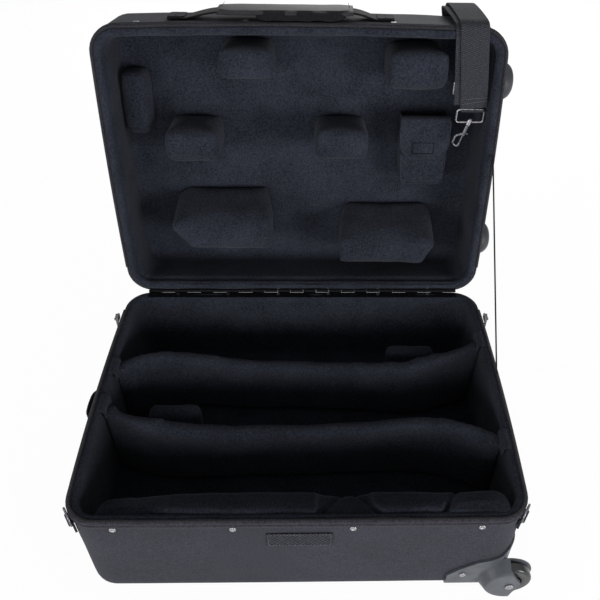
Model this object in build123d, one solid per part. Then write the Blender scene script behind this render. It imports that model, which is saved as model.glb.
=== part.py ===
from build123d import *
import os
from math import cos, radians, sin

# A soft-sided triple trumpet case that stands open on two wheels and two feet. +X is the wheel
# end, +Y the hinge side, +Z up, and the origin lies on the floor under the middle of the base.

# driving dimensions, mm
case_width, case_depth = 536.0, 390.0
base_height, lid_height = 162.0, 98.0
rim_gap = 5.0
corner_radius, edge_radius = 36.0, 14.0
floor_clearance = 9.0
open_angle = 100.0
base_end_bow, base_front_bow = 5.0, 0.6
lid_end_bow, lid_front_bow = 3.0, 4.7

# layers of the walls, from the outside in
cover_thick, frame_thick = 2.5, 5.5
base_lining_thick, lid_lining_thick = 3.5, 8.5
floor_pad_thick = 22.0
band_thick, band_height, lip_height = 1.4, 11.0, 2.2

# worked out from them
half_width, half_depth = case_width / 2, case_depth / 2
base_bottom = floor_clearance
base_rim = base_bottom + base_height
lid_rim = base_rim + rim_gap
lid_top = lid_rim + lid_height
lining_inset = cover_thick + frame_thick
base_inset = lining_inset + base_lining_thick
lid_inset = lining_inset + lid_lining_thick
tub_bottom = base_bottom + lining_inset + floor_pad_thick
well_floor = tub_bottom + base_lining_thick
lid_ceiling = lid_top - lid_inset
hinge_y, hinge_z = half_depth, base_rim + rim_gap / 2

os.makedirs("parts", exist_ok=True)


def box(x0, x1, y0, y1, z0, z1):
    return Pos((x0 + x1) / 2, (y0 + y1) / 2, (z0 + z1) / 2) * Box(x1 - x0, y1 - y0, z1 - z0)


def rod_x(radius, x0, x1, y, z):
    return Pos((x0 + x1) / 2, y, z) * Rot(Y=90) * Cylinder(radius, x1 - x0)


def rod_y(radius, x, y0, y1, z):
    return Pos(x, (y0 + y1) / 2, z) * Rot(X=90) * Cylinder(radius, y1 - y0)


def rod_z(radius, x, y, z0, z1):
    return Pos(x, y, (z0 + z1) / 2) * Cylinder(radius, z1 - z0)


def less(shape, cutters):
    for cutter in cutters:
        shape = shape - cutter
    return shape


# a prism along Y over a polygon of X and Z points
def prism_y(points, y0, y1):
    face = make_face(Polyline([(x, z) for x, z in points], close=True))
    return extrude(Plane(origin=(0, y1, 0), x_dir=(1, 0, 0), z_dir=(0, -1, 0)) * face, y1 - y0)


# a prism along Z over a polygon of X and Y points
def prism_z(points, z0, z1):
    return extrude(Pos(0, 0, z0) * make_face(Polyline(points, close=True)), z1 - z0)


# the case in plan: straight along the hinge, bowed on the other three sides
def outline(inset, end_bow, front_bow):
    x, y = half_width - inset, half_depth - inset
    front = ThreePointArc((-x, -y), (0, -y - front_bow), (x, -y))
    right = ThreePointArc((x, -y), (x + end_bow, 0), (x, y))
    left = ThreePointArc((-x, y), (-x - end_bow, 0), (-x, -y))
    face = make_face([front, right, Line((x, y), (-x, y)), left])
    return fillet(face.vertices(), corner_radius - inset)


def base_block(inset, z0, z1, radius=0.0):
    block = extrude(Pos(0, 0, z0) * outline(inset, base_end_bow, base_front_bow), z1 - z0)
    return fillet(block.faces().sort_by(Axis.Z)[0].edges(), radius) if radius else block


def lid_block(inset, z0, z1, radius=0.0):
    block = extrude(Pos(0, 0, z0) * outline(inset, lid_end_bow, lid_front_bow), z1 - z0)
    return fillet(block.faces().sort_by(Axis.Z)[-1].edges(), radius) if radius else block


# where the bowed walls lie
def front_y(x, bow):
    return -half_depth - bow * (1 - (x / half_width) ** 2)


def end_x(y, bow):
    return half_width + bow * (1 - (y / half_depth) ** 2)


# a piece of the closed lid, turned to where it stands open
def opened(shape):
    hinge = Pos(0, hinge_y, hinge_z)
    return hinge * Rot(X=-open_angle) * Pos(0, -hinge_y, -hinge_z) * shape


def opened_point(x, y, z):
    turn, dy, dz = radians(open_angle), y - hinge_y, z - hinge_z
    return (x, hinge_y + dy * cos(turn) + dz * sin(turn), hinge_z - dy * sin(turn) + dz * cos(turn))


def save(name, *solids):
    export_step(solids[0] if len(solids) == 1 else Compound(children=list(solids)), f"parts/{name}.step")


# shells, from the outside in
base_skin = base_block(0, base_bottom, base_rim, edge_radius)
base_frame_block = base_block(cover_thick, base_bottom + cover_thick, base_rim, edge_radius - cover_thick)
base_core = base_block(lining_inset, base_bottom + lining_inset, base_rim, edge_radius - lining_inset)
base_hollow = base_block(base_inset, well_floor, base_rim, 8.0)
lid_skin = lid_block(0, lid_rim, lid_top, edge_radius)
lid_frame_block = lid_block(cover_thick, lid_rim, lid_top - cover_thick, edge_radius - cover_thick)
lid_core = lid_block(lining_inset, lid_rim, lid_top - lining_inset, edge_radius - lining_inset)
lid_hollow = lid_block(lid_inset, lid_rim, lid_ceiling, 10.0)

# wheels
wheel_x, wheel_radius = 266.0, 30.0
wheel_z = wheel_radius
tyre_inner_radius, tyre_edge = 21.0, 4.0
wheel_out, wheel_in = 203.0, 189.5
hub_recess, spoke_count, spoke_hole, spoke_ring = 3.0, 5, 4.6, 13.0
side_clear, cheek_thick, liner_thick = 1.0, 4.5, 1.2
cavity_radius = wheel_radius + 1.5
recess_radius = cavity_radius + liner_thick
axle_radius, axle_clear = 3.5, 0.06
housing_thick = 3.0
housing_out = wheel_out + side_clear + cheek_thick
housing_in = wheel_in - side_clear - liner_thick
fairing_root, fairing_nose, fairing_depth, fairing_edge = 40.0, 30.5, 17.0, 4.5
housing_low = 1.0
skirt_end = 148.0
# X and Z of the skirt's corners, seen from the front
skirt_profile = [(187, 7.5), (187, 40), (203, 57), (222, 71), (240, 78), (253, 80), (262, 86),
                 (290, 86), (290, 7.5)]
# the part of the cheek that leaves the wheel bare, about the axle
cheek_opening = [(-4, 44), (-2, 34), (5, 20), (14, 6), (12, -6), (7, -16), (2, -36), (60, -36), (60, 44)]
screw_x, screw_z, screw_head, screw_shank, screw_length = 206.0, 43.0, 4.2, 1.9, 10.5


# Y values of two distances from the case's middle, on one side, in rising order
def ys(side, near, far):
    return sorted((side * near, side * far))


def wheel_recess(side):
    return rod_y(recess_radius, wheel_x, *ys(side, housing_in, half_depth + 60), wheel_z)


def wheel_screw(side):
    wall = front_y(screw_x, base_front_bow) if side < 0 else half_depth
    face = abs(wall) + housing_thick
    head = Pos(screw_x, side * (face + 0.9), screw_z) * Rot(X=90) * Cylinder(screw_head, 1.8)
    head = fillet(head.edges(), 0.8)
    return head + rod_y(screw_shank, screw_x, *ys(side, face - screw_length, face + 0.5), screw_z)


# a moulded corner: a skirt round the case's corner, a fairing over the wheel and a liner behind it
def wheel_housing(side):
    skirt = base_block(-housing_thick, base_bottom - housing_thick, base_rim, edge_radius + housing_thick)
    skirt &= prism_y(skirt_profile, *ys(side, skirt_end, half_depth + 40))
    fairing = Rot(X=90) * Cone(fairing_root, fairing_nose, fairing_depth)
    fairing = Pos(wheel_x, fairing_depth / 2 - housing_out, wheel_z) * fairing
    fairing = fillet(fairing.edges().sort_by(Axis.Y)[0], fairing_edge)
    fairing = fairing if side < 0 else mirror(fairing, about=Plane.XZ)
    liner = rod_y(recess_radius, wheel_x, *ys(side, housing_in, wheel_in + 6), wheel_z)
    solid = (skirt + fairing + liner) - (base_skin - wheel_recess(side))
    inner, outer = wheel_in - side_clear, wheel_out + side_clear
    solid -= rod_y(cavity_radius, wheel_x, *ys(side, inner, outer), wheel_z)
    solid -= box(wheel_x - 2, wheel_x + 70, *ys(side, inner, outer), -20, wheel_z + 62)
    opening = [(wheel_x + x, wheel_z + z) for x, z in cheek_opening]
    solid -= prism_y(opening, *ys(side, outer - 1, housing_out + 5))
    solid &= box(0, wheel_x + 80, *ys(side, 100, 260), housing_low, base_rim)
    return solid - rod_y(axle_radius, wheel_x, *ys(side, 150, 260), wheel_z) - wheel_screw(side)


def axle_bolt(side):
    shank = rod_y(axle_radius, wheel_x, *ys(side, housing_in, housing_out), wheel_z)
    head = Pos(wheel_x, side * (housing_out + 1.1), wheel_z) * Rot(X=90) * Cylinder(5.4, 2.2)
    return shank + fillet(head.edges(), 0.9)


def wheel_hub(side):
    hub = rod_y(tyre_inner_radius, wheel_x, *ys(side, wheel_in, wheel_out), wheel_z)
    hub -= rod_y(tyre_inner_radius - 3.5, wheel_x, *ys(side, wheel_out - hub_recess, wheel_out + 1), wheel_z)
    boss = rod_y(7.0, wheel_x, *ys(side, wheel_in, wheel_out), wheel_z)
    hub += boss
    for n in range(spoke_count):
        turn = radians(90 + n * 360 / spoke_count)
        x, z = wheel_x + spoke_ring * cos(turn), wheel_z + spoke_ring * sin(turn)
        hub -= rod_y(spoke_hole, x, *ys(side, 150, 260), z)
    return hub - rod_y(axle_radius + axle_clear, wheel_x, *ys(side, 150, 260), wheel_z)


def wheel_tyre(side):
    tyre = rod_y(wheel_radius, wheel_x, *ys(side, wheel_in, wheel_out), wheel_z)
    tyre = fillet(tyre.edges(), tyre_edge)
    return tyre - rod_y(tyre_inner_radius, wheel_x, *ys(side, 150, 260), wheel_z)


for side, name in ((-1, "front"), (1, "back")):
    save(f"wheel_housing_{name}", wheel_housing(side))
    save(f"{name}_wheel_hub", wheel_hub(side))
    save(f"{name}_wheel_tyre", wheel_tyre(side))
save("axle_bolts", axle_bolt(-1), axle_bolt(1))
housing_screws = [wheel_screw(-1), wheel_screw(1)]
save("housing_screws", *housing_screws)

# feet under the other end
foot_x, foot_y, foot_radius = -212.0, 150.0, 15.0


def base_foot(y):
    foot = rod_z(foot_radius, foot_x, y, 0, base_bottom)
    return fillet(foot.edges().sort_by(Axis.Z)[0], 6.0)


save("base_feet", base_foot(-foot_y), base_foot(foot_y))

# pull handle: two nested stages of tubes, a grip and its button
tube_y, tube_z = 52.0, base_bottom + lining_inset + floor_pad_thick / 2
tube_clear, tube_wall = 0.08, 1.0
outer_radius, outer_bore = 8.0, 8.0 - tube_wall
middle_radius = outer_bore - tube_clear
middle_bore = middle_radius - tube_wall
inner_radius = middle_bore - tube_clear
tray_x0, tray_depth = -half_width - base_end_bow, 20.0
tube_start = tray_x0 + tray_depth
outer_length, stage_travel = 290.0, 225.0
tray_y, tray_z0, tray_z1 = 74.0, base_bottom + 9.0, tub_bottom - 1.0
grip_x0, grip_x1 = -288.0, -276.0
grip_y, grip_z0, grip_z1 = 64.0, tube_z - 9.0, tube_z + 9.0
button_y, button_z, button_travel, button_proud = 15.0, 4.5, 3.0, 3.4
button_clear = 0.3
bracket_x = tube_start + outer_length


def tubes(radius, bore, x0, x1):
    pair = [rod_x(radius, x0, x1, y, tube_z) for y in (-tube_y, tube_y)]
    return [t - rod_x(bore, x0 - 1, x1 + 1, t.center().Y, tube_z) for t in pair] if bore else pair


# the moulded tray in the end wall, with a hole for each tube
def trolley_tray():
    shell = box(tray_x0 - 1.5, tube_start + 2.5, -tray_y, tray_y, tray_z0, tray_z1)
    shell = fillet(shell.edges().filter_by(Axis.X), 5.0)
    flange = box(tray_x0 - 1.5, tray_x0 - 0.2, -tray_y - 4, tray_y + 4, tray_z0 - 4, tray_z1 + 4)
    flange = fillet(flange.edges().filter_by(Axis.X), 7.0)
    hollow = box(tray_x0 - 2, tube_start, -tray_y + 2, tray_y - 2, tray_z0 + 2, tray_z1 - 2)
    solid = shell + flange - fillet(hollow.edges().filter_by(Axis.X), 3.5)
    for y in (-tube_y, tube_y):
        solid -= rod_x(outer_bore, tube_start - 1, tube_start + 3, y, tube_z)
    return solid


def trolley_bracket():
    bar = box(bracket_x, bracket_x + 14, -tube_y - 14, tube_y + 14, tube_z - 11, tube_z + 11)
    return fillet(bar.edges().filter_by(Axis.X), 4.0)


# the room that the tray and the bracket take from the shells and the floor pad
def tray_room():
    return box(tray_x0 - 0.2, tube_start + 2.5, -tray_y, tray_y, tray_z0, tray_z1)


def trolley_grip():
    bar = box(grip_x0, grip_x1, -grip_y, grip_y, grip_z0, grip_z1)
    bar = fillet(bar.edges().filter_by(Axis.Y), 4.5)
    sockets = [rod_x(inner_radius + 1.2, grip_x1 - 2, grip_x1 + 9, y, tube_z) for y in (-tube_y, tube_y)]
    solid = bar + sockets[0] + sockets[1]
    slot_y, slot_z = button_y + button_clear, button_z + button_clear
    solid -= box(grip_x0 - 1, grip_x0 + 8, -slot_y, slot_y, tube_z - slot_z, tube_z + slot_z)
    for y in (-tube_y, tube_y):
        solid -= rod_x(inner_radius, grip_x0 + 5, grip_x1 + 10, y, tube_z)
    return solid


def trolley_button():
    x0 = grip_x0 - button_proud
    body = box(x0, x0 + 7.6, -button_y, button_y, tube_z - button_z, tube_z + button_z)
    return fillet(body.edges().sort_by(Axis.X)[:4], 1.2)


outer_tubes = tubes(outer_radius, outer_bore, tube_start + 2.5, bracket_x)
save("trolley_outer_tubes", *outer_tubes)
save("trolley_middle_tubes", *tubes(middle_radius, middle_bore, tube_start + 0.5, bracket_x - 6))
save("trolley_inner_tubes", *tubes(inner_radius, 0, grip_x0 + 5, bracket_x - 12))
save("trolley_tray", trolley_tray())
save("trolley_bracket", trolley_bracket())
save("trolley_grip", trolley_grip())
save("trolley_button", trolley_button())

# hinge: a knuckled leaf on each rim and one long pin
hinge_half, knuckle_count, knuckle_gap = 240.0, 24, 0.4
knuckle_radius, pin_radius, pin_clear = 2.1, 0.9, 0.06
leaf_width, leaf_thick = 12.0, 0.9
knuckle_length = 2 * hinge_half / knuckle_count


def hinge_leaf(first, rim, up):
    leaf_z = sorted((rim, rim + up * leaf_thick))
    leaf = box(-hinge_half, hinge_half, hinge_y - leaf_width, hinge_y - knuckle_radius - 0.6, *leaf_z)
    for n in range(first, knuckle_count, 2):
        x0 = -hinge_half + n * knuckle_length + knuckle_gap / 2
        x1 = x0 + knuckle_length - knuckle_gap
        leaf += box(x0, x1, hinge_y - knuckle_radius - 0.7, hinge_y, *leaf_z)
        leaf += rod_x(knuckle_radius, x0, x1, hinge_y, hinge_z)
    bore = pin_radius + pin_clear if up < 0 else pin_radius
    return leaf - rod_x(bore, -hinge_half - 1, hinge_half + 1, hinge_y, hinge_z)


save("hinge_pin", rod_x(pin_radius, -hinge_half + 0.5, hinge_half - 0.5, hinge_y, hinge_z))

# rivets through the rims and the hinge leaves
rivet_head, rivet_rise, rivet_shank, rivet_length = 4.1, 1.7, 1.6, 7.0
base_rivet_x, lid_rivet_x = (-213.0, -75.5, 63.5, 213.5), (-210.0, -70.0, 120.0, 212.0)
base_rivet_z, lid_rivet_z = base_rim - 15.6, lid_rim + 17.2
hinge_rivet_x = [n * 78.0 for n in (-2.5, -1.5, -0.5, 0.5, 1.5, 2.5)]


# a cupped rivet on the front wall
def front_rivet(x, z, bow):
    y = front_y(x, bow)
    head = rod_y(rivet_head, x, y - rivet_rise, y + 0.2, z)
    head = fillet(head.edges().sort_by(Axis.Y)[0], 1.2)
    head -= Pos(x, y - rivet_rise - 1.5, z) * Sphere(2.6)
    return head + rod_y(rivet_shank, x, y, y + rivet_length, z)


# a flat rivet down through a hinge leaf into the frame
def hinge_rivet(x, rim, up):
    y = hinge_y - cover_thick - frame_thick / 2
    ends = sorted((rim + up * (leaf_thick + 0.5), rim - up * rivet_length))
    head = sorted((rim + up * leaf_thick, rim + up * (leaf_thick + 0.5)))
    return rod_z(rivet_shank, x, y, *ends) + rod_z(2.6, x, y, *head)


base_rivets = [front_rivet(x, base_rivet_z, base_front_bow) for x in base_rivet_x]
base_rivets += [hinge_rivet(x, base_rim, 1) for x in hinge_rivet_x]
lid_rivets = [front_rivet(x, lid_rivet_z, lid_front_bow) for x in lid_rivet_x]
lid_rivets += [hinge_rivet(x, lid_rim, -1) for x in hinge_rivet_x]
save("base_rivets", *base_rivets)
save("lid_rivets", *[opened(r) for r in lid_rivets])
save("hinge_base_leaf", less(hinge_leaf(0, base_rim, 1), base_rivets))
save("hinge_lid_leaf", opened(less(hinge_leaf(1, lid_rim, -1), lid_rivets)))

# padding in the base
divider_half = 8.0
divider_top = base_rim - 4.0
# the plan of each divider's middle line
back_divider_line = [(-262, 42), (-235, 60), (-190, 74), (-100, 74), (10, 70), (120, 62), (165, 60),
                     (200, 68), (262, 93)]
front_divider_line = [(-262, -24), (-230, -38), (-183, -50), (-100, -51), (0, -47), (105, -43), (175, -45),
                      (221, -62), (262, -84)]
tab_half, tab_thick, tab_reach = 15.0, 1.8, 265.0


def divider(line, dip_x, dip_depth):
    near = Spline(*[(x, y - divider_half) for x, y in line])
    far = Spline(*[(x, y + divider_half) for x, y in line])
    ends = [Line(near @ 0, far @ 0), Line(near @ 1, far @ 1)]
    wall = extrude(Pos(0, 0, well_floor) * make_face([near, far, *ends]), divider_top - well_floor)
    arch_radius = (dip_x ** 2 + dip_depth ** 2) / (2 * dip_depth)
    arch = rod_y(arch_radius, 0, -half_depth, half_depth, divider_top + arch_radius - dip_depth)
    wall = (wall - arch) & base_hollow
    for end_point, sign in ((line[0], -1), (line[-1], 1)):
        y = end_point[1]
        x0, x1 = sorted((sign * (half_width - 24), sign * tab_reach))
        wall += box(x0, x1, y - tab_half, y + tab_half, base_rim, base_rim + tab_thick)
        x0, x1 = sorted((sign * (half_width - 24), sign * (half_width - base_inset - 1)))
        wall += box(x0, x1, y - divider_half, y + divider_half, divider_top - 6, base_rim + tab_thick)
    return wall


def rest_pad(x0, x1, y0, y1, top):
    pad = fillet(box(x0, x1, y0, y1, well_floor, top).edges().filter_by(Axis.Z), 9.0)
    return fillet(pad.faces().sort_by(Axis.Z)[-1].edges(), 7.0)


def front_cushion():
    block = box(-243, 252, -half_depth, -150, well_floor, base_rim - 3)
    block = fillet(block.edges().filter_by(Axis.Z).sort_by(Axis.Y)[-2:], 16.0)
    block &= base_hollow
    return fillet(block.faces().sort_by(Axis.Z)[-1].edges().sort_by(Axis.Y)[-1], 7.0)


save("back_divider", divider(back_divider_line, 200.0, 20.0))
save("front_divider", divider(front_divider_line, 200.0, 16.0))
save("middle_rest_pad", rest_pad(-211, -137, -26, 4, base_rim - 30))
save("back_rest_pad", rest_pad(124, 199, 88, 116, base_rim - 30))
save("front_cushion", front_cushion())

# zipper bands: a tape round three sides with a toothed lip on the rim
band_end_y = half_depth - corner_radius - 4
lip_width = 3.0


def zipper_band(block, rim, up):
    skirt = sorted((rim, rim - up * band_height))
    lip = sorted((rim, rim + up * lip_height))
    band = block(-band_thick, *skirt) - block(0, skirt[0] - 1, skirt[1] + 1)
    band += block(-band_thick, *lip) - block(lip_width, lip[0] - 1, lip[1] + 1)
    return band & box(-half_width - 9, half_width + 9, -half_depth - 9, band_end_y, 0, lid_top)


save("base_zipper", zipper_band(base_block, base_rim, 1))
save("lid_zipper", opened(zipper_band(lid_block, lid_rim, -1)))

# zipper sliders with their pulls, one at each end of the zipper
slider_y, slider_long, slider_thick = 138.0, 12.0, 2.0
slider_travel = 285.0
slider_z0, slider_z1 = base_rim - 5.0, base_rim + 5.0
slider_x = half_width + max(base_end_bow, lid_end_bow) + band_thick + 0.4
pull_pin_z, pull_pin_radius, pull_length, pull_half, pull_thick = base_rim + 1.0, 0.8, 19.0, 3.5, 1.4
lug_half, lug_reach = 4.6, 3.6


def slider(side):
    body = box(slider_x, slider_x + slider_thick, slider_y - slider_long / 2, slider_y + slider_long / 2,
               slider_z0, slider_z1)
    body = fillet(body.edges().filter_by(Axis.X), 2.5)
    out = slider_x + slider_thick
    for y in (slider_y - lug_half, slider_y + lug_half):
        body += box(out - 0.5, out + lug_reach, y - 0.7, y + 0.7, pull_pin_z - 1.8, pull_pin_z + 1.8)
    body += rod_y(pull_pin_radius, out + 2.0, slider_y - lug_half, slider_y + lug_half, pull_pin_z)
    return body if side > 0 else mirror(body, about=Plane.YZ)


def pull(side):
    x = slider_x + slider_thick + 2.0
    tab = box(x - pull_thick / 2, x + pull_thick / 2, slider_y - pull_half, slider_y + pull_half,
              pull_pin_z - pull_length, pull_pin_z)
    tab = fillet(tab.edges().filter_by(Axis.X).sort_by(Axis.Z)[:2], 2.4)
    eye = rod_y(1.7, x, slider_y - pull_half, slider_y + pull_half, pull_pin_z)
    tab = tab + eye - rod_y(pull_pin_radius + 0.08, x, 0, 200, pull_pin_z)
    tab -= box(x - 3, x + 3, slider_y - 1.6, slider_y + 1.6, pull_pin_z - pull_length + 4, pull_pin_z - 7)
    return tab if side > 0 else mirror(tab, about=Plane.YZ)


for side, name in ((-1, "left"), (1, "right")):
    save(f"{name}_zipper_slider", slider(side))
    save(f"{name}_zipper_pull", pull(side))

# label patch, grab handle, ring tabs and rings on the base
patch_x0, patch_x1, patch_z0, patch_z1 = -38.0, 40.0, base_rim - 55.0, base_rim - 25.0
label_patch = base_block(-1.0, patch_z0, patch_z1) - base_block(0, patch_z0 - 1, patch_z1 + 1)
save("label_patch", label_patch & box(patch_x0, patch_x1, -half_depth - 20, 0, 0, base_rim))

grab_y0, grab_y1, grab_z, grab_half, grab_rise, grab_thick = -64.0, 44.0, base_rim - 30.0, 12.5, 11.0, 3.0
grab_end = 24.0


# a webbing loop that stands off the left wall between two sewn-down ends
def end_handle():
    wall = -end_x(0, base_end_bow) - 0.3
    y0, y1, rise = grab_y0, grab_y1, wall - grab_rise
    low, high = y0 + grab_end, y1 - grab_end
    outer = [(wall, y0), (wall, y1), (wall - grab_thick, y1), (wall - grab_thick, high + 4),
             (rise - grab_thick, high - 12), (rise - grab_thick, low + 12), (wall - grab_thick, low - 4),
             (wall - grab_thick, y0)]
    inner = [(wall + 1, low), (rise, low + 13), (rise, high - 13), (wall + 1, high)]
    band = prism_z(outer, grab_z - grab_half, grab_z + grab_half)
    band -= prism_z(inner, grab_z - grab_half - 1, grab_z + grab_half + 1)
    return band


grab_plate_ys = (grab_y0 + grab_end / 2 - 2, grab_y1 - grab_end / 2 + 2)


def grab_rivet(y):
    wall = -end_x(0, base_end_bow) - 0.3 - grab_thick
    head = fillet(rod_x(4.6, wall - 1.8, wall, y, grab_z).edges().sort_by(Axis.X)[0], 1.2)
    return head + rod_x(1.6, wall - 0.5, wall + 10, y, grab_z)


grab_rivets = [grab_rivet(y) for y in grab_plate_ys]
save("end_handle", less(end_handle(), grab_rivets))
save("end_handle_rivets", *grab_rivets)

# rings on sewn tabs at the two front corners
# the bows push the corner's face out a little further than its radius
ring_turn, ring_stand = 34.0, 1.8
tab_width, tab_low, tab_high, tab_base = 16.0, base_rim - 37.0, base_rim - 17.0, 2.6
ring_wire, ring_clear, ring_width, ring_tall = 1.3, 0.08, 21.0, 15.0
ring_bar_z, ring_bar_out = tab_high + 1.5, 3.4
ring_foot_bend, ring_top_bend = 2.2, 7.0


# from a local frame on the front corner: X along the wall, Y outwards as -Y, Z up
def at_corner(side, shape):
    corner_x, corner_y = half_width - corner_radius, -half_depth + corner_radius
    turned = Rot(Z=side * (90 - ring_turn)) * Pos(0, -corner_radius - ring_stand, 0) * shape
    return Pos(side * corner_x, corner_y, 0) * turned


def ring_tab():
    plate = box(-tab_width / 2, tab_width / 2, -tab_base, 0, tab_low, tab_high)
    plate = fillet(plate.edges().filter_by(Axis.Y).sort_by(Axis.Z)[:2], 3.0)
    loop = rod_x(ring_wire + 1.5, -tab_width / 2, tab_width / 2, -ring_bar_out, ring_bar_z)
    neck = box(-tab_width / 2, tab_width / 2, -ring_bar_out - 0.8, -1.0, tab_high - 3, ring_bar_z)
    return plate + neck + loop - rod_x(ring_wire + ring_clear, -50, 50, -ring_bar_out, ring_bar_z)


def ring():
    half, top = ring_width / 2, ring_bar_z + ring_tall
    corners = [(-half, -ring_bar_out, ring_bar_z), (-half, -ring_bar_out, top),
               (half, -ring_bar_out, top), (half, -ring_bar_out, ring_bar_z)]
    bends = [ring_foot_bend, ring_top_bend, ring_top_bend, ring_foot_bend]
    path = FilletPolyline(*corners, radius=bends, close=True)
    return sweep(path.location_at(0) * Circle(ring_wire), path=path)


save("ring_tabs", at_corner(-1, ring_tab()), at_corner(1, ring_tab()))
save("left_ring", at_corner(-1, ring()))
save("right_ring", at_corner(1, ring()))

# lid stay: a taut tape from the base's rim to the lid's rim at the wheel end
stay_width, stay_thick, stay_tab_width, stay_tab_long = 4.6, 1.2, 7.0, 18.0
stay_foot = Vector(half_width + 2.6, 28.0, base_rim + lip_height + 3.4)
stay_head = Vector(*opened_point(half_width - 0.4, -30.0, lid_rim - lip_height - 1.8))


def lid_stay():
    run = stay_head - stay_foot
    frame = Plane(origin=stay_foot, x_dir=(1, 0, 0), z_dir=run)
    tape = extrude(frame * Rectangle(stay_thick, stay_width), run.length)
    return tape + extrude(frame * Rectangle(stay_thick + 1.2, stay_tab_width), stay_tab_long)


save("lid_stay", lid_stay())

# padding in the lid, drawn in the closed position
pad_front = lid_rim + 7.0
small_pads = [(-104, -36, -168, -130), (119, 195, -165, -119), (-186, -113, -58, -15), (18, 92, -59, -22)]
ridge_x0, ridge_x1, ridge_y0, ridge_y1, ridge_front = -250.0, -214.0, -128.0, -40.0, lid_rim + 42.0
# X and Y of each large pad's face and of its root on the lid's ceiling
left_pad_face = [(-190, 90), (-178, 82), (-47, 80), (-47, 124), (-162, 124)]
left_pad_root = [(-186, 62), (-170, 52), (-54, 52), (-54, 130), (-166, 130)]
right_pad_face = [(58, 112), (188, 110), (198, 120), (180, 152), (58, 150)]
right_pad_root = [(64, 78), (184, 76), (196, 88), (184, 156), (64, 154)]


def block_pad(x0, x1, y0, y1, front):
    pad = fillet(box(x0, x1, y0, y1, front, lid_ceiling).edges().filter_by(Axis.Z), 9.0)
    return fillet(pad.faces().sort_by(Axis.Z)[0].edges(), 6.0)


def wedge_pad(face, root):
    sections = [Pos(0, 0, z) * make_face(Polyline(points, close=True))
                for z, points in ((pad_front, face), (lid_ceiling, root))]
    return loft(sections, ruled=True)


lid_pads = [block_pad(*p, pad_front) for p in small_pads]
lid_pads.append(block_pad(ridge_x0, ridge_x1, ridge_y0, ridge_y1, ridge_front))
save("lid_pads", *[opened(p & lid_hollow) for p in lid_pads])
save("left_lid_pad", opened(wedge_pad(left_pad_face, left_pad_root)))
save("right_lid_pad", opened(wedge_pad(right_pad_face, right_pad_root)))

# accessory pouch in the lid and its flap
pouch_x0, pouch_x1, pouch_y0, pouch_y1 = 143.0, 212.0, -71.0, 33.0
pouch_front, pouch_wall = lid_rim + 44.0, 2.0
flap_clear, flap_thick, flap_side, flap_tip = 0.5, 1.8, 1.5, -6.0


def pouch():
    bag = box(pouch_x0, pouch_x1, pouch_y0, pouch_y1, pouch_front, lid_ceiling)
    bag = fillet(bag.edges().filter_by(Axis.Z).sort_by(Axis.Y)[-2:], 10.0)
    bag = fillet(bag.faces().sort_by(Axis.Z)[0].edges().sort_by(Axis.Y)[1:], 3.0)
    room = box(pouch_x0 + pouch_wall, pouch_x1 - pouch_wall, pouch_y0 - 1, pouch_y1 - pouch_wall,
               pouch_front + pouch_wall, lid_ceiling - pouch_wall)
    return bag - room


def pouch_flap():
    x0, x1 = pouch_x0 - flap_side, pouch_x1 + flap_side
    top, front = pouch_y0 - flap_clear, pouch_front - flap_clear
    over = box(x0, x1, top - flap_thick, top, front - flap_thick, lid_ceiling - 3)
    drop = box(x0, x1, top - flap_thick, flap_tip, front - flap_thick, front)
    return over + fillet(drop.edges().filter_by(Axis.Z).sort_by(Axis.Y)[-2:], 24.0)


save("accessory_pouch", opened(pouch()))
save("pouch_flap", opened(pouch_flap()))

# outer pocket on the lid's panel and the two feet on its wheel end
pocket_x0, pocket_x1, pocket_y0, pocket_y1, pocket_thick = -215.0, 188.0, -186.0, 120.0, 16.0
lid_foot_y, lid_foot_z = 121.0, lid_rim + 40.0
lid_foot_radius, lid_foot_rise, lid_foot_dome = 26.0, 20.0, 17.0


def outer_pocket():
    bag = box(pocket_x0, pocket_x1, pocket_y0, pocket_y1, lid_top, lid_top + pocket_thick)
    bag = fillet(bag.edges().filter_by(Axis.Z), 22.0)
    return fillet(bag.faces().sort_by(Axis.Z)[-1].edges(), 7.0)


def lid_foot(y):
    wall = end_x(y, lid_end_bow)
    foot = rod_x(lid_foot_radius, wall - 4, wall + lid_foot_rise, y, lid_foot_z)
    return fillet(foot.edges().sort_by(Axis.X)[-1], lid_foot_dome) - lid_skin


save("outer_pocket", opened(outer_pocket()))
save("lid_feet", opened(lid_foot(-lid_foot_y)), opened(lid_foot(lid_foot_y)))

# carry handle on the lid's front wall
handle_y, handle_thick, handle_rise = -200.6, 2.5, 13.0
handle_z0, handle_z1 = lid_rim + 24.0, lid_rim + 60.0
handle_line = [(-172, 0), (-148, 0), (-120, 0.72), (-95, 1), (62, 1), (79, 0.72), (98, 0), (122, 0)]
wrap_x0, wrap_x1, wrap_under, wrap_over = -92.0, 60.0, 4.5, 6.5
wrap_side, wrap_clear = 5.0, 0.35
mount_width, mount_thick = 22.0, 1.2
mount_ends = (-172.0, 122.0 - mount_width)
mount_rivet_z = (lid_rim + 32.0, lid_rim + 48.0)


# a flat band of the given thickness along a path of points
def band_face(points, thick):
    sides = []
    for sign in (1, -1):
        side = []
        for n, (x, y) in enumerate(points):
            ax, ay = points[max(n - 1, 0)]
            bx, by = points[min(n + 1, len(points) - 1)]
            into = Vector(x - ax, y - ay) if n else Vector(bx - x, by - y)
            out = Vector(bx - x, by - y) if n < len(points) - 1 else into
            into, out = into.normalized(), out.normalized()
            mitre = (into + out).normalized()
            reach = sign * thick / 2 / max(mitre.dot(into), 0.5)
            side.append((x - mitre.Y * reach, y + mitre.X * reach))
        sides.append(side)
    return make_face(Polyline(sides[0] + sides[1][::-1], close=True))


def carry_handle():
    path = [(x, handle_y - rise * handle_rise) for x, rise in handle_line]
    return extrude(Pos(0, 0, handle_z0) * band_face(path, handle_thick), handle_z1 - handle_z0)


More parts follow.
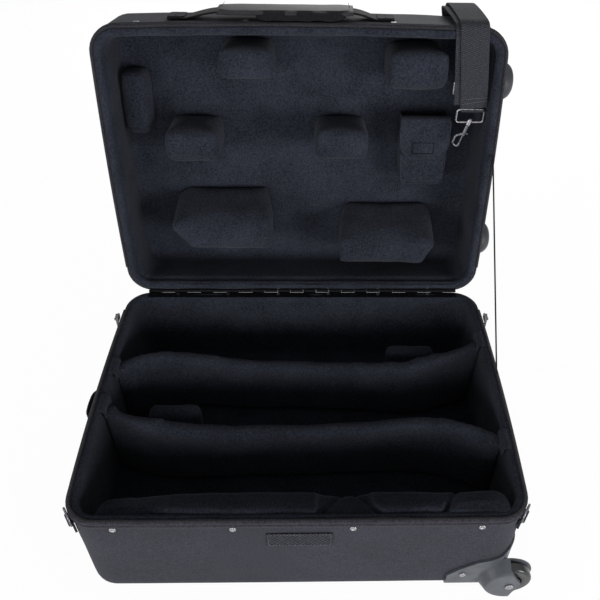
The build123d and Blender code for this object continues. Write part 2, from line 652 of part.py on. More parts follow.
def handle_wrap():
    y = handle_y - handle_rise
    wrap = box(wrap_x0, wrap_x1, y - wrap_over, y + wrap_under, handle_z0 - wrap_side, handle_z1 + wrap_side)
    wrap = fillet(wrap.edges().filter_by(Axis.X), 4.5)
    half = handle_thick / 2 + wrap_clear
    return wrap - box(wrap_x0 - 1, wrap_x1 + 1, y - half, y + half, handle_z0 - wrap_clear,
                      handle_z1 + wrap_clear)


def mount_rivet(x, z):
    face = handle_y - handle_thick / 2 - mount_thick - 0.05
    head = fillet(rod_y(4.2, x, face - 1.6, face, z).edges().sort_by(Axis.Y)[0], 1.0)
    return head + rod_y(1.5, x, face - 0.5, handle_y + 8, z)


mount_rivets = [mount_rivet(x + mount_width / 2, z) for x in mount_ends for z in mount_rivet_z]


def handle_mount(x):
    face = handle_y - handle_thick / 2 - 0.05
    plate = box(x, x + mount_width, face - mount_thick, face, handle_z0 + 2, handle_z1 - 2)
    return less(fillet(plate.edges().filter_by(Axis.Y), 4.0), mount_rivets)


# shoulder strap over the lid's front wall: Y and Z of its two layers, and the loop behind
strap_x0, strap_x1, strap_thick = 209.0, 246.0, 1.5
strap_line = [(258.5, 452.2), (258.5, 562.3), (262.5, 567.0), (284, 567.3), (318, 567.8), (352, 568.2),
              (366, 561.5), (374.5, 540), (374.5, 196), (372.5, 188), (368.5, 184), (364.5, 188),
              (362.5, 196), (364.5, 400), (370.3, 538), (362.5, 557), (351, 564.4), (318, 564.0),
              (284, 563.6), (264, 563.6), (261, 560.2), (261, 458)]


def shoulder_strap():
    plane = Plane(origin=(strap_x0, 0, 0), x_dir=(0, 1, 0), z_dir=(1, 0, 0))
    return extrude(plane * band_face(strap_line, strap_thick), strap_x1 - strap_x0)


# wire loops, swivel hook and its sprung bolt on the strap's end
loop_wire, loop_half, loop_bend = 1.4, 18.6, 3.0
loop_x, loop_y = 232.5, strap_line[0][0]
hook_lean = 16.0
hook_place = Pos(loop_x, loop_y, 432.0) * Rot(Y=hook_lean)
eye_radius, eye_half, shank_radius, shank_clear = 4.0, 4.6, 1.5, 0.06
body_radius, body_top, body_end = 3.2, -5.0, -21.0
bolt_radius, bolt_clear, bolt_travel = 1.2, 0.06, 8.0
bolt_top, bolt_end, knob_z, knob_radius = -15.5, -32.6, -17.5, 1.5
hook_wire = 1.9
hook_line = [(-1.4, -18.5), (-9.5, -24.5), (-9.5, -36.5), (-0.0, -41.5), (0.0, -33.0)]


# a round wire along corner points of X and Z, with every corner rounded
def wire_rod(points, radius, bend):
    path = FilletPolyline(*[(x, 0, z) for x, z in points], radius=bend)
    return sweep(Plane(origin=path @ 0, z_dir=path % 0) * Circle(radius), path=path)


# a rectangle of wire about the strap's width, with its bars above and below
def wire_loop(x, y, z_top, z_low):
    half = loop_half
    side = [(0, z_top), (-half, z_top), (-half, z_low), (0, z_low)]
    left = wire_rod(side, loop_wire, loop_bend)
    return Pos(x, y, 0) * (left + mirror(left, about=Plane.YZ))


def hook_eye():
    eye = fillet(Cylinder(eye_radius, 2 * eye_half).edges(), 1.0)
    return hook_place * (eye - Cylinder(shank_radius + shank_clear, 40))


def hook_body():
    shank = rod_z(shank_radius, 0, 0, body_top - 0.5, eye_half + 1.4)
    cap = rod_z(2.6, 0, 0, eye_half + 0.15, eye_half + 1.6)
    body = fillet(rod_z(body_radius, 0, 0, body_end, body_top).edges(), 0.6)
    wire = wire_rod(hook_line, hook_wire, 3.6)
    solid = shank + cap + body + wire
    solid -= rod_z(bolt_radius + bolt_clear, 0, 0, bolt_end + 1, body_top - 2)
    slot = knob_radius + 0.3
    solid -= box(0, 6, -slot, slot, knob_z - slot, knob_z + bolt_travel + slot)
    return hook_place * solid


def hook_bolt():
    rod = rod_z(bolt_radius, 0, 0, bolt_end, bolt_top)
    knob = rod_x(knob_radius, 0.2, 5.6, 0, knob_z)
    return hook_place * (rod + fillet(knob.edges().sort_by(Axis.X)[-1], 0.6))


strap_x = (strap_x0 + strap_x1) / 2
end_loop = wire_loop(loop_x, loop_y, 450.4, 432.0) + hook_eye()
end_loop -= hook_place * Cylinder(shank_radius + shank_clear, 40)
slide_loop = wire_loop(strap_x - 3, strap_line[-1][0] + 2.3, 489.0, 470.0)


save("shoulder_strap", shoulder_strap())
save("strap_loops", end_loop, slide_loop)
save("hook_body", hook_body())
save("hook_bolt", hook_bolt())
save("carry_handle", opened(less(carry_handle(), mount_rivets)))
save("handle_wrap", opened(handle_wrap()))
save("handle_mounts", *[opened(handle_mount(x)) for x in mount_ends])

# shells, with everything that is let into them cut away
base_cuts = [wheel_recess(-1), wheel_recess(1), tray_room(), *base_rivets, *housing_screws, *grab_rivets]
lid_cuts = lid_rivets + mount_rivets


def floor_pad():
    pad = base_core & box(-half_width, half_width, -half_depth, half_depth, 0, tub_bottom)
    for y in (-tube_y, tube_y):
        slot = outer_radius + 0.5
        pad -= box(tube_start, bracket_x, y - slot, y + slot, tube_z - slot, tube_z + slot)
    return less(pad, [wheel_recess(-1), wheel_recess(1), tray_room(), trolley_bracket()])


def base_lining():
    above = box(-half_width, half_width, -half_depth - 9, half_depth, tub_bottom, base_rim + 1)
    return less((base_core & above) - base_hollow, [wheel_recess(-1), wheel_recess(1)])


save("base_cover", less(base_skin - base_frame_block, base_cuts))
save("base_frame", less(base_frame_block - base_core, base_cuts))
save("floor_pad", floor_pad())
save("base_lining", base_lining())
save("lid_cover", opened(less(lid_skin - lid_frame_block, lid_cuts)))
save("lid_frame", opened(less(lid_frame_block - lid_core, lid_cuts)))
save("lid_lining", opened(lid_core - lid_hollow))
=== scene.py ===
from math import cos, pi, radians, sin

import bmesh
import bpy
from mathutils import Matrix, Vector, noise


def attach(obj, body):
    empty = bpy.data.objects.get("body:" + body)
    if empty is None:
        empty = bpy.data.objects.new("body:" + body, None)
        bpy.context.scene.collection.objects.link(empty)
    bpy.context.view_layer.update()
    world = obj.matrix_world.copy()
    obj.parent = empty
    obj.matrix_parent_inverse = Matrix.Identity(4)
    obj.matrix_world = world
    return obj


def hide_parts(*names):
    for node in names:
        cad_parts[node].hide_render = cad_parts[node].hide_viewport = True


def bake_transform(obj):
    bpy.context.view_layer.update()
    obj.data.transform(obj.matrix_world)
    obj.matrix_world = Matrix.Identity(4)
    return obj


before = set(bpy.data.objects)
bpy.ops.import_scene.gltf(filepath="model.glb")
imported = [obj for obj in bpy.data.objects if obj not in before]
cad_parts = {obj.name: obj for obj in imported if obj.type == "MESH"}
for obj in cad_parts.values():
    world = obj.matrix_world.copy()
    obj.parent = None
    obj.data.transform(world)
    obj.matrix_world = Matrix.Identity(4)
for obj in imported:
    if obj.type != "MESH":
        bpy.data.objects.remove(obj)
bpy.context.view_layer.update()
scene = bpy.context.scene

# the case's own sizes, in metres; the lid's heights are those of the closed lid
case = {
    "halfWidth": 0.268, "halfDepth": 0.195, "corner": 0.036,
    "bottom": 0.009, "baseRim": 0.171, "lidRim": 0.176, "lidTop": 0.274,
    "baseEndBow": 0.005, "baseFrontBow": 0.0006, "lidEndBow": 0.003, "lidFrontBow": 0.0047,
    "wellFloor": 0.0425, "openAngle": 100.0, "edgeRound": 0.014, "samples": 280,
    "sideSteps": 40, "cornerSteps": 24, "endSteps": 60,
}
hinge = Vector((0.0, case["halfDepth"], (case["baseRim"] + case["lidRim"]) / 2))
openLid = (Matrix.Translation(hinge) @ Matrix.Rotation(-radians(case["openAngle"]), 4, "X")
           @ Matrix.Translation(-hinge))
materials = {}
weld = 1e-5          # points of a mesh that are nearer than this are one
edgeShare = 0.3      # how much of its thickness the edges of cloth are rounded by


# a grid of across by along faces, each of its points moved to place(u, v); its UV map is in metres
def sheetMesh(across, along, place, uvSize=(1.0, 1.0)):
    bm = bmesh.new()
    layer = bm.loops.layers.uv.new("cut")
    bmesh.ops.create_grid(bm, x_segments=across, y_segments=along, size=0.5, calc_uvs=True)
    for face in bm.faces:
        for loop in face.loops:
            loop[layer].uv = (loop[layer].uv.x * uvSize[0], loop[layer].uv.y * uvSize[1])
    for vert in bm.verts:
        vert.co = place(vert.co.x + 0.5, vert.co.y + 0.5)
    return bm


def clamp(*values):
    return max(0.0, min(1.0, *values))


# makes a bmesh an object of the scene
def newObject(name, bm):
    mesh = bpy.data.meshes.new(name)
    bm.to_mesh(mesh)
    bm.free()
    made = bpy.data.objects.new(name, mesh)
    scene.collection.objects.link(made)
    return made


def shadeSmooth(piece):
    for polygon in piece.data.polygons:
        polygon.use_smooth = True


# turns a bmesh into a piece that rides on a body, or on none where it spans two; a piece of the lid is
# drawn on the closed lid and opened here
def finishPiece(name, bm, body, material, onLid=False):
    if onLid:
        bm.transform(openLid)
    piece = newObject(name, bm)
    piece.data.materials.append(materials[material])
    shadeSmooth(piece)
    if body:
        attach(piece, body)
    return piece


# applies what modifiers a piece has, and leaves one plain mesh
def applyModifiers(piece):
    graph = bpy.context.evaluated_depsgraph_get()
    graph.update()
    mesh = bpy.data.meshes.new_from_object(piece.evaluated_get(graph))
    old = piece.data
    piece.modifiers.clear()
    piece.data = mesh
    bpy.data.meshes.remove(old)
    shadeSmooth(piece)


# gives a sheet its wall: offset -1 grows it against its normals, 0 to both sides
def thicken(piece, thickness, offset=-1.0, edge=0.0):
    wall = piece.modifiers.new("thickness", "SOLIDIFY")
    wall.thickness, wall.offset = thickness, offset
    if edge:
        bevel = piece.modifiers.new("edge", "BEVEL")
        bevel.width, bevel.segments, bevel.limit_method = edge, 2, "ANGLE"
    applyModifiers(piece)


# moves points along their normals by a smooth noise and a finer one, so that cloth isn't dead flat; each
# seed gives another part of the noise
def ripple(bm, height, size, seed, share=lambda co: 1.0):
    fineShare, fineness = 0.4, 2.7
    bm.normal_update()
    moves = []
    for vert in bm.verts:
        push = noise.noise(vert.co / size + Vector((seed, seed * 0.7, -seed)))
        push += fineShare * noise.noise(vert.co / size * fineness + Vector((-seed, seed, seed * 0.3)))
        moves.append(vert.normal * push * height * share(vert.co))
    for vert, move in zip(bm.verts, moves):
        vert.co += move


# a smooth line through given points, as evenly spaced points
def smoothLine(points, step):
    cuts = 12        # pieces between two given points, before the line is spaced
    points = [Vector(p) for p in points]
    ends = [2 * points[0] - points[1]] + points + [2 * points[-1] - points[-2]]
    line = []
    for a, b, c, d in zip(ends, ends[1:], ends[2:], ends[3:]):
        for n in range(cuts):
            t = n / cuts
            line.append(0.5 * (2 * b + (c - a) * t + (2 * a - 5 * b + 4 * c - d) * t * t
                               + (3 * b - a - 3 * c + d) * t ** 3))
    line.append(points[-1])
    return evenly(line, step)


def lineLength(line):
    return sum((b - a).length for a, b in zip(line, line[1:]))


# the same line in equal spans of about a step
def evenly(line, step):
    spans = [(b - a).length for a, b in zip(line, line[1:])]
    count = max(2, round(sum(spans) / step))
    out, at, n = [line[0].copy()], 0.0, 0
    for k in range(1, count):
        want = sum(spans) * k / count
        while at + spans[n] < want:
            at += spans[n]
            n += 1
        out.append(line[n].lerp(line[n + 1], (want - at) / spans[n]))
    return out + [line[-1].copy()]


# copies a small shape to every place on a line; up gives the direction it stands in
def stampRow(name, shape, line, pitch, up, body, material, onLid=False):
    bm = bmesh.new()
    places = evenly(line, pitch)
    template = bpy.data.meshes.new("template")
    shape.to_mesh(template)
    shape.free()
    for before, after in zip(places, places[1:]):
        middle = (before + after) / 2
        along = (after - before).normalized()
        out = up(middle) if callable(up) else Vector(up)
        side = out.cross(along).normalized()
        turn = Matrix((along, side, along.cross(side))).transposed().to_4x4()
        one = template.copy()
        one.transform(Matrix.Translation(middle) @ turn)
        bm.from_mesh(one)
        bpy.data.meshes.remove(one)
    bpy.data.meshes.remove(template)
    return finishPiece(name, bm, body, material, onLid)


# one stitch of thread, lying along X
def stitchShape(length=0.0026, width=0.0008, height=0.0007):
    bm = bmesh.new()
    bmesh.ops.create_uvsphere(bm, u_segments=6, v_segments=4, radius=0.5)
    bmesh.ops.scale(bm, vec=(width, height, length), verts=bm.verts)
    bmesh.ops.rotate(bm, matrix=Matrix.Rotation(pi / 2, 3, "Y"), verts=bm.verts)
    return bm


# one tooth of a zipper, lying across X
def toothShape(length=0.0013, width=0.0032, height=0.0011, edge=0.0003):
    bm = bmesh.new()
    bmesh.ops.create_cube(bm, size=1.0)
    bmesh.ops.scale(bm, vec=(length, width, height), verts=bm.verts)
    bmesh.ops.bevel(bm, geom=bm.edges[:], offset=edge, segments=1, affect="EDGES", profile=0.5,
                    material=-1)
    return bm


# a flat band of webbing along a line; across is its width's direction, one vector or one for each point
def webbing(name, line, width, thickness, across, body, material, onLid=False, cells=8):
    last = len(line) - 1
    sides = across if isinstance(across, list) else [Vector(across).normalized()] * len(line)

    def place(u, v):
        n = min(round(u * last), last)
        return line[n] + sides[n] * (v - 0.5) * width

    bm = sheetMesh(last, cells, place, (lineLength(line), width))
    piece = finishPiece(name, bm, body, material, onLid)
    thicken(piece, thickness, 0.0, thickness * edgeShare)
    return piece


# a round wire or piping along a line
def piping(name, line, radius, body, material, onLid=False, closed=False):
    curve = bpy.data.curves.new(name, "CURVE")
    curve.dimensions = "3D"
    spline = curve.splines.new("POLY")
    spline.points.add(len(line) - 1)
    for point, co in zip(spline.points, line):
        point.co = (*co, 1.0)
    spline.use_cyclic_u = closed
    curve.bevel_depth, curve.bevel_resolution, curve.use_fill_caps = radius, 2, True
    holder = bpy.data.objects.new(name + "Line", curve)
    scene.collection.objects.link(holder)
    mesh = bpy.data.meshes.new_from_object(holder.evaluated_get(bpy.context.evaluated_depsgraph_get()))
    bpy.data.objects.remove(holder)
    bm = bmesh.new()
    bm.from_mesh(mesh)
    bpy.data.meshes.remove(mesh)
    return finishPiece(name, bm, body, material, onLid)


# the case's outline in plan as evenly spaced (point, outward direction), from the middle of the hinge side
def casePlan(endBow, frontBow):
    w, d, r = case["halfWidth"], case["halfDepth"], case["corner"]

    def endAt(y):
        return w + endBow * (1 - (y / d) ** 2)

    def frontAt(x):
        return -d - frontBow * (1 - (x / w) ** 2)

    sides, turns, ends = case["sideSteps"], case["cornerSteps"], case["endSteps"]
    bends = [pi / 2 * n / turns for n in range(1, turns)]
    back = Vector((endAt(d - r) - r, d - r, 0))
    front = Vector((endAt(r - d) - r, frontAt(w - r) + r, 0))
    half = [Vector((back.x * n / sides, d, 0)) for n in range(sides + 1)]
    half += [back + Vector((r * sin(a), r * cos(a), 0)) for a in bends]
    half += [Vector((endAt(y), y, 0))
             for y in (back.y + (front.y - back.y) * n / ends for n in range(ends + 1))]
    half += [front + Vector((r * cos(a), -r * sin(a), 0)) for a in bends]
    half += [Vector((x, frontAt(x), 0)) for x in (front.x * (1 - n / sides) for n in range(sides + 1))]
    line = half + [Vector((-p.x, p.y, 0)) for p in half[-2::-1]]
    spots = evenly(line, lineLength(line) / case["samples"])[:case["samples"]]
    plan = []
    for n, spot in enumerate(spots):
        along = (spots[(n + 1) % len(spots)] - spots[n - 1]).normalized()
        plan.append((spot, Vector((-along.y, along.x, 0))))
    return plan


basePlan = casePlan(case["baseEndBow"], case["baseFrontBow"])
lidPlan = casePlan(case["lidEndBow"], case["lidFrontBow"])


# a shell round the plan; profile holds (inset, z) or (inset, z, shrink) from the rim to the middle
def planShell(plan, profile):
    cutSize = (1.74, 0.4)     # of the UV map: once round the plan, and from the rim to the middle
    count, last = len(plan), len(profile) - 1

    def place(u, v):
        spot, out = plan[round(u * count) % count]
        row = profile[round(v * last)]
        shrink = row[2] if len(row) > 2 else 1.0
        inner = spot - out * row[0]
        return Vector((inner.x * shrink, inner.y * shrink, row[1]))

    bm = sheetMesh(count, last, place, cutSize)
    bmesh.ops.remove_doubles(bm, verts=bm.verts, dist=weld)
    bmesh.ops.recalc_face_normals(bm, faces=bm.faces)
    return bm


# a profile's quarter round, from the upright wall inwards; zSign is 1 where it turns upwards
def quarter(inset, z, radius, zSign, turns=6):
    return [(inset + radius * (1 - cos(a)), z + zSign * radius * sin(a))
            for a in (pi / 2 * n / turns for n in range(turns + 1))]


# the wall's outward direction nearest to a point
def wallOut(plan):
    def outward(p):
        return min(plan, key=lambda s: (s[0].x - p.x) ** 2 + (s[0].y - p.y) ** 2)[1]
    return outward


# an sRGB hex colour as the linear one that nodes take
def linear(hexColour):
    parts = [int(hexColour[n:n + 2], 16) / 255 for n in (1, 3, 5)]
    return (*[p / 12.92 if p <= 0.04045 else ((p + 0.055) / 1.055) ** 2.4 for p in parts], 1.0)


def outputOf(source):
    return source.outputs[0] if isinstance(source, bpy.types.Node) else source


# adds a node with its settings and its links; a kind may name its operation after a full stop, and stops
# are a ramp's places and colours
def addNode(tree, kind, settings=None, links=None):
    kind, _, operation = kind.partition(".")
    node = tree.nodes.new("ShaderNode" + kind)
    if operation:
        node.operation = operation
    for key, value in (settings or {}).items():
        if key == "stops":
            for element, (position, colour) in zip(node.color_ramp.elements, value):
                element.position, element.color = position, linear(colour)
        elif isinstance(key, int) or key in node.inputs:
            node.inputs[key].default_value = value
        else:
            setattr(node, key, value)
    for key, source in (links or {}).items():
        tree.links.new(outputOf(source), node.inputs[key])
    return node


def startMaterial(name, roughness, settings=None):
    material = bpy.data.materials.new(name)
    material.use_nodes = True
    tree = material.node_tree
    tree.nodes.clear()
    shader = addNode(tree, "BsdfPrincipled", {"Roughness": roughness, **(settings or {})})
    addNode(tree, "OutputMaterial", links={"Surface": shader})
    materials[name] = material
    return tree, shader, addNode(tree, "TexCoord").outputs["Object"]


# links a finish's colour and relief, in metres, and its roughness where that changes
def finishSurface(tree, shader, colour, height, distance, strength, rough=None):
    bump = addNode(tree, "Bump", {"Distance": distance, "Strength": strength}, {"Height": height})
    for socket, source in (("Base Color", colour), ("Normal", bump), ("Roughness", rough)):
        if source:
            tree.links.new(outputOf(source), shader.inputs[socket])


# a broad and a fine change of colour, half mixed, with pale specks of lint on them
def speckled(tree, place, broad, broadStops, fine, fineStops, share, speckMm, speckFrom, speckMost, lint):
    base = addNode(tree, "ValToRGB", {"stops": broadStops}, {0: broad})
    threads = addNode(tree, "ValToRGB", {"stops": fineStops}, {0: fine})
    colour = addNode(tree, "Mix", {"data_type": "RGBA", 0: share}, {6: base, 7: threads})
    flecks = addNode(tree, "TexNoise", {"Scale": 1000 / speckMm, "Detail": 1.0}, {"Vector": place})
    amount = addNode(tree, "MapRange", {1: speckFrom, 2: 0.83, 4: speckMost}, {0: flecks})
    return addNode(tree, "Mix", {"data_type": "RGBA", 7: linear(lint)},
                   {0: amount, 6: colour.outputs[2]}).outputs[2]


# over and under of a plain weave on whichever way the surface faces
def weaveHeight(tree, threadMm):
    texture = addNode(tree, "TexCoord")
    scaled = addNode(tree, "VectorMath.SCALE", {"Scale": pi * 1000 / threadMm},
                     {0: texture.outputs["Object"]})
    waves = addNode(tree, "VectorMath.SINE", links={0: scaled})
    crests = addNode(tree, "SeparateXYZ", links={0: waves})
    facing = addNode(tree, "VectorMath.MULTIPLY",
                     links={0: texture.outputs["Normal"], 1: texture.outputs["Normal"]})
    shares = addNode(tree, "SeparateXYZ", links={0: facing})
    total = None
    for n in range(3):
        weave = addNode(tree, "Math.MULTIPLY",
                        links={0: crests.outputs[(n + 1) % 3], 1: crests.outputs[(n + 2) % 3]})
        part = addNode(tree, "Math.MULTIPLY", links={0: weave, 1: shares.outputs[n]})
        total = part if total is None else addNode(tree, "Math.ADD", links={0: total, 1: part})
    return addNode(tree, "Math.MULTIPLY_ADD", {1: 0.5, 2: 0.5}, {0: total})


# coated oxford nylon on the outside: grey black, a fine weave with a slight violet cast and pale specks
def nylonCloth():
    tree, shader, place = startMaterial("oxfordNylonCloth", 0.78, {
        "Sheen Weight": 0.05, "Sheen Roughness": 0.5, "Specular IOR Level": 0.2})
    weave = weaveHeight(tree, 1.5)     # real threads are 0.5 mm, drawn coarser so that they show
    grain = addNode(tree, "TexNoise", {"Scale": 1000 / 2.0, "Detail": 5.0}, {"Vector": place})
    broad = addNode(tree, "TexNoise", {"Scale": 1000 / 80.0, "Detail": 3.0}, {"Vector": place})
    height = addNode(tree, "Math.MULTIPLY_ADD", {1: 0.35}, {0: weave, 2: grain})
    colour = speckled(tree, place, broad, [(0.32, "#2a2b32"), (0.7, "#3b3c46")],
                      height, [(0.5, "#222329"), (0.92, "#4f505c")], 0.55, 3.0, 0.75, 0.3, "#8a8990")
    finishSurface(tree, shader, colour, height, 0.00025, 0.5)


# short napped plush on the inside: blue black, brushed lighter and darker in patches, with pale specks
def plushLining():
    tree, shader, place = startMaterial("nappedPlush", 0.95, {
        "Sheen Weight": 0.06, "Sheen Roughness": 0.6, "Specular IOR Level": 0.08})
    nap = addNode(tree, "TexNoise", {"Scale": 1000 / 2.4, "Detail": 6.0}, {"Vector": place})
    brushed = addNode(tree, "TexNoise", {"Scale": 1000 / 46.0, "Detail": 4.0}, {"Vector": place})
    height = addNode(tree, "Math.MULTIPLY_ADD", {1: 0.6}, {0: brushed, 2: nap})
    colour = speckled(tree, place, brushed, [(0.33, "#20232c"), (0.68, "#373b47")],
                      nap, [(0.34, "#16191f"), (0.72, "#4a4f5d")], 0.5, 3.4, 0.77, 0.22, "#7b7e88")
    finishSurface(tree, shader, colour, height, 0.0007, 0.5)


# woven polyester webbing: ribs across the band and a twill between them, so that its edges look sawn
def wovenBand(name, dark, light, ribMm=2.6):
    tree, shader, place = startMaterial(name, 0.8, {"Sheen Weight": 0.05, "Specular IOR Level": 0.2})
    cut = addNode(tree, "SeparateXYZ", links={0: addNode(tree, "UVMap", {"uv_map": "cut"})})
    slant = addNode(tree, "Math.MULTIPLY_ADD", {1: 0.6}, {0: cut.outputs[1], 2: cut.outputs[0]})
    waves = []
    for source, pitchMm in ((slant, ribMm), (cut.outputs[1], ribMm * 1.2)):
        turns = addNode(tree, "Math.MULTIPLY", {1: 2 * pi * 1000 / pitchMm}, {0: source})
        waves.append(addNode(tree, "Math.SINE", links={0: turns}))
    twill = addNode(tree, "Math.MULTIPLY", links={0: waves[0], 1: waves[1]})
    grain = addNode(tree, "TexNoise", {"Scale": 1000 / 1.8, "Detail": 4.0}, {"Vector": place})
    height = addNode(tree, "Math.MULTIPLY_ADD", {1: 0.3}, {0: twill, 2: grain})
    colour = addNode(tree, "ValToRGB", {"stops": [(0.25, dark), (0.85, light)]}, {0: height})
    finishSurface(tree, shader, colour, height, 0.0004, 0.7)


# plain woven cloth on pieces with no cut of their own: tape, binding, label and wrap
def wovenCloth(name, dark, light, threadMm=1.4, roughness=0.8, specular=0.15):
    tree, shader, place = startMaterial(name, roughness, {"Sheen Weight": 0.04,
                                                          "Specular IOR Level": specular})
    weave = weaveHeight(tree, threadMm)
    grain = addNode(tree, "TexNoise", {"Scale": 1000 / 3.0, "Detail": 5.0}, {"Vector": place})
    mixed = addNode(tree, "Mix", {"data_type": "FLOAT", 0: 0.35}, {2: grain, 3: weave})
    colour = addNode(tree, "ValToRGB", {"stops": [(0.32, dark), (0.68, light)]}, {0: mixed})
    finishSurface(tree, shader, colour, mixed, 0.0003, 0.5)


# moulded plastic: a fine spark-eroded texture, a little lighter and smoother where it is rubbed
def mouldedPlastic(name, dark, light, roughness, textureMm=1.2, depthMm=0.08, specular=0.5):
    tree, shader, place = startMaterial(name, roughness, {"IOR": 1.5, "Specular IOR Level": specular})
    worn = addNode(tree, "TexNoise", {"Scale": 1000 / 24.0, "Detail": 5.0}, {"Vector": place})
    texture = addNode(tree, "TexNoise", {"Scale": 1000 / textureMm, "Detail": 3.0}, {"Vector": place})
    colour = addNode(tree, "ValToRGB", {"stops": [(0.3, dark), (0.7, light)]}, {0: worn})
    rough = addNode(tree, "MapRange", {3: roughness + 0.1, 4: roughness - 0.08}, {0: worn})
    finishSurface(tree, shader, colour, texture, depthMm / 1000, 0.4, rough)


# plated or drawn metal, with fine marks from its making that catch the light unevenly
def platedMetal(name, low, high, roughness, stretch=(1.0, 1.0, 1.0)):
    tree, shader, place = startMaterial(name, roughness, {"Metallic": 1.0})
    drawn = addNode(tree, "Mapping", {"Scale": stretch}, {"Vector": place})
    marks = addNode(tree, "TexNoise", {"Scale": 1000 / 1.6, "Detail": 4.0}, {"Vector": drawn})
    colour = addNode(tree, "ValToRGB", {"stops": [(0.3, low), (0.7, high)]}, {0: marks})
    rough = addNode(tree, "MapRange", {3: roughness - 0.06, 4: roughness + 0.12}, {0: marks})
    finishSurface(tree, shader, colour, marks, 0.00002, 0.3, rough)


nylonCloth()
plushLining()
wovenBand("ribbedWebbing", "#1d1e22", "#50535b")     # grey ribs with a soft, even light
wovenBand("smoothWebbing", "#111114", "#2b2a2e", 1.8)     # near black, its ribs hardly show
wovenCloth("zipperTape", "#15151a", "#2d2c34", 1.1)     # flat violet black
wovenCloth("boundPiping", "#222127", "#4a4852", 1.2)     # a lighter line round the rims
wovenCloth("plushPiping", "#1d2028", "#454853", 1.6)     # blue grey, a little over the plush
wovenCloth("labelWeave", "#101016", "#474751", 3.0)     # coarse threads, dark and pale
wovenCloth("gripWrap", "#1d1d20", "#403f43", 1.5, 0.62, 0.3)     # coated, a dull shine on its crown
wovenCloth("gripLiningCloth", "#131317", "#2b2a31", 1.5)     # darker and duller than the wrap
wovenCloth("bareFoam", "#2b2b2f", "#47474c", 2.4, 0.95)     # matt grey, open pores
mouldedPlastic("greyAbs", "#4a4d53", "#62666d", 0.46, specular=0.4)     # mid grey, a broad soft shine
mouldedPlastic("darkGreyAbs", "#2b2d32", "#43464d", 0.5, specular=0.4)     # dark grey, duller
mouldedPlastic("blackAbs", "#141416", "#232326", 0.38)     # black, half gloss
mouldedPlastic("polyurethaneTread", "#1a1b1e", "#2c2d31", 0.22, 2.0, 0.05)     # black, smooth and shiny
mouldedPlastic("zipperCoil", "#101013", "#27272c", 0.45)     # black, small glints
mouldedPlastic("shellBoard", "#1a1a1c", "#2a2a2d", 0.7)     # dark and matt
mouldedPlastic("sewingThread", "#08080b", "#1c1c21", 0.8, specular=0.1)     # black, matt, a fine dark row
mouldedPlastic("paleThread", "#55545b", "#8d8c92", 0.8, specular=0.2)     # grey stitches that show
platedMetal("nickelPlate", "#77757a", "#b9b7ba", 0.24)     # bright, a warm grey mirror
platedMetal("blackNickel", "#4b4b50", "#8a8a90", 0.28)     # smoky, sharp small lights
platedMetal("darkSteel", "#131316", "#29292d", 0.5)     # dark and oiled, hardly a light
platedMetal("drawnAluminium", "#9a9c9f", "#c9cbcd", 0.3, (0.05, 1.0, 1.0))     # pale, fine lines along it
print("finishes ready:", len(materials))

# finishes of the pieces that come straight from the CAD model
nodeFinish = {
    "shellBoard": ["base_frame", "lid_frame"],
    "bareFoam": ["floor_pad"],
    "nickelPlate": ["base_rivets", "end_handle_rivets", "axle_bolts", "housing_screws", "strap_loops"],
    "blackNickel": ["left_ring", "right_ring", "left_zipper_slider", "right_zipper_slider",
                    "left_zipper_pull", "right_zipper_pull", "hook_body", "hook_bolt", "lid_rivets"],
    "darkSteel": ["hinge_base_leaf", "hinge_lid_leaf", "hinge_pin"],
    "greyAbs": ["wheel_housing_front", "wheel_housing_back"],
    "darkGreyAbs": ["base_feet", "lid_feet"],
    "blackAbs": ["trolley_tray", "trolley_bracket", "trolley_grip", "trolley_button",
                 "front_wheel_hub", "back_wheel_hub"],
    "polyurethaneTread": ["front_wheel_tyre", "back_wheel_tyre"],
    "drawnAluminium": ["trolley_outer_tubes", "trolley_middle_tubes", "trolley_inner_tubes"],
    "zipperTape": ["ring_tabs", "handle_mounts"],
}
for finish, names in nodeFinish.items():
    for name in names:
        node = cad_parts[name]
        node.data.materials.clear()
        node.data.materials.append(materials[finish])

# nylon over the boards, a little slack between its seams, cut away round the wheels and the trolley's tray
coverSkin = {"thickness": 0.0023, "wrinkle": 0.0009, "wrinkleSize": 0.1, "fade": 0.03,
             "backFromRim": 0.0005, "baseSteps": 18, "lidSteps": 10, "panelStarts": 0.004,
             "panelInset": 0.02, "wheelX": 0.266, "wheelZ": 0.030, "wellRadius": 0.0330, "wellIn": 0.1865,
             "wellDeep": 0.06, "tray": (-0.280, -0.262, -0.0742, 0.0742, 0.0178, 0.0382)}


def coverCutters():
    cutters = []
    for side in (-1, 1):
        bm = bmesh.new()
        bmesh.ops.create_cone(bm, cap_ends=True, segments=64, radius1=coverSkin["wellRadius"],
                              radius2=coverSkin["wellRadius"], depth=coverSkin["wellDeep"])
        bmesh.ops.rotate(bm, matrix=Matrix.Rotation(pi / 2, 3, "X"), verts=bm.verts)
        middle = side * (coverSkin["wellIn"] + coverSkin["wellDeep"] / 2)
        bmesh.ops.translate(bm, vec=(coverSkin["wheelX"], middle, coverSkin["wheelZ"]), verts=bm.verts)
        cutters.append(newObject("cutter", bm))
    x0, x1, y0, y1, z0, z1 = coverSkin["tray"]
    bm = bmesh.new()
    bmesh.ops.create_cube(bm, size=1.0)
    bmesh.ops.scale(bm, vec=(x1 - x0, y1 - y0, z1 - z0), verts=bm.verts)
    bmesh.ops.translate(bm, vec=((x0 + x1) / 2, (y0 + y1) / 2, (z0 + z1) / 2), verts=bm.verts)
    return [*cutters, newObject("cutter", bm)]


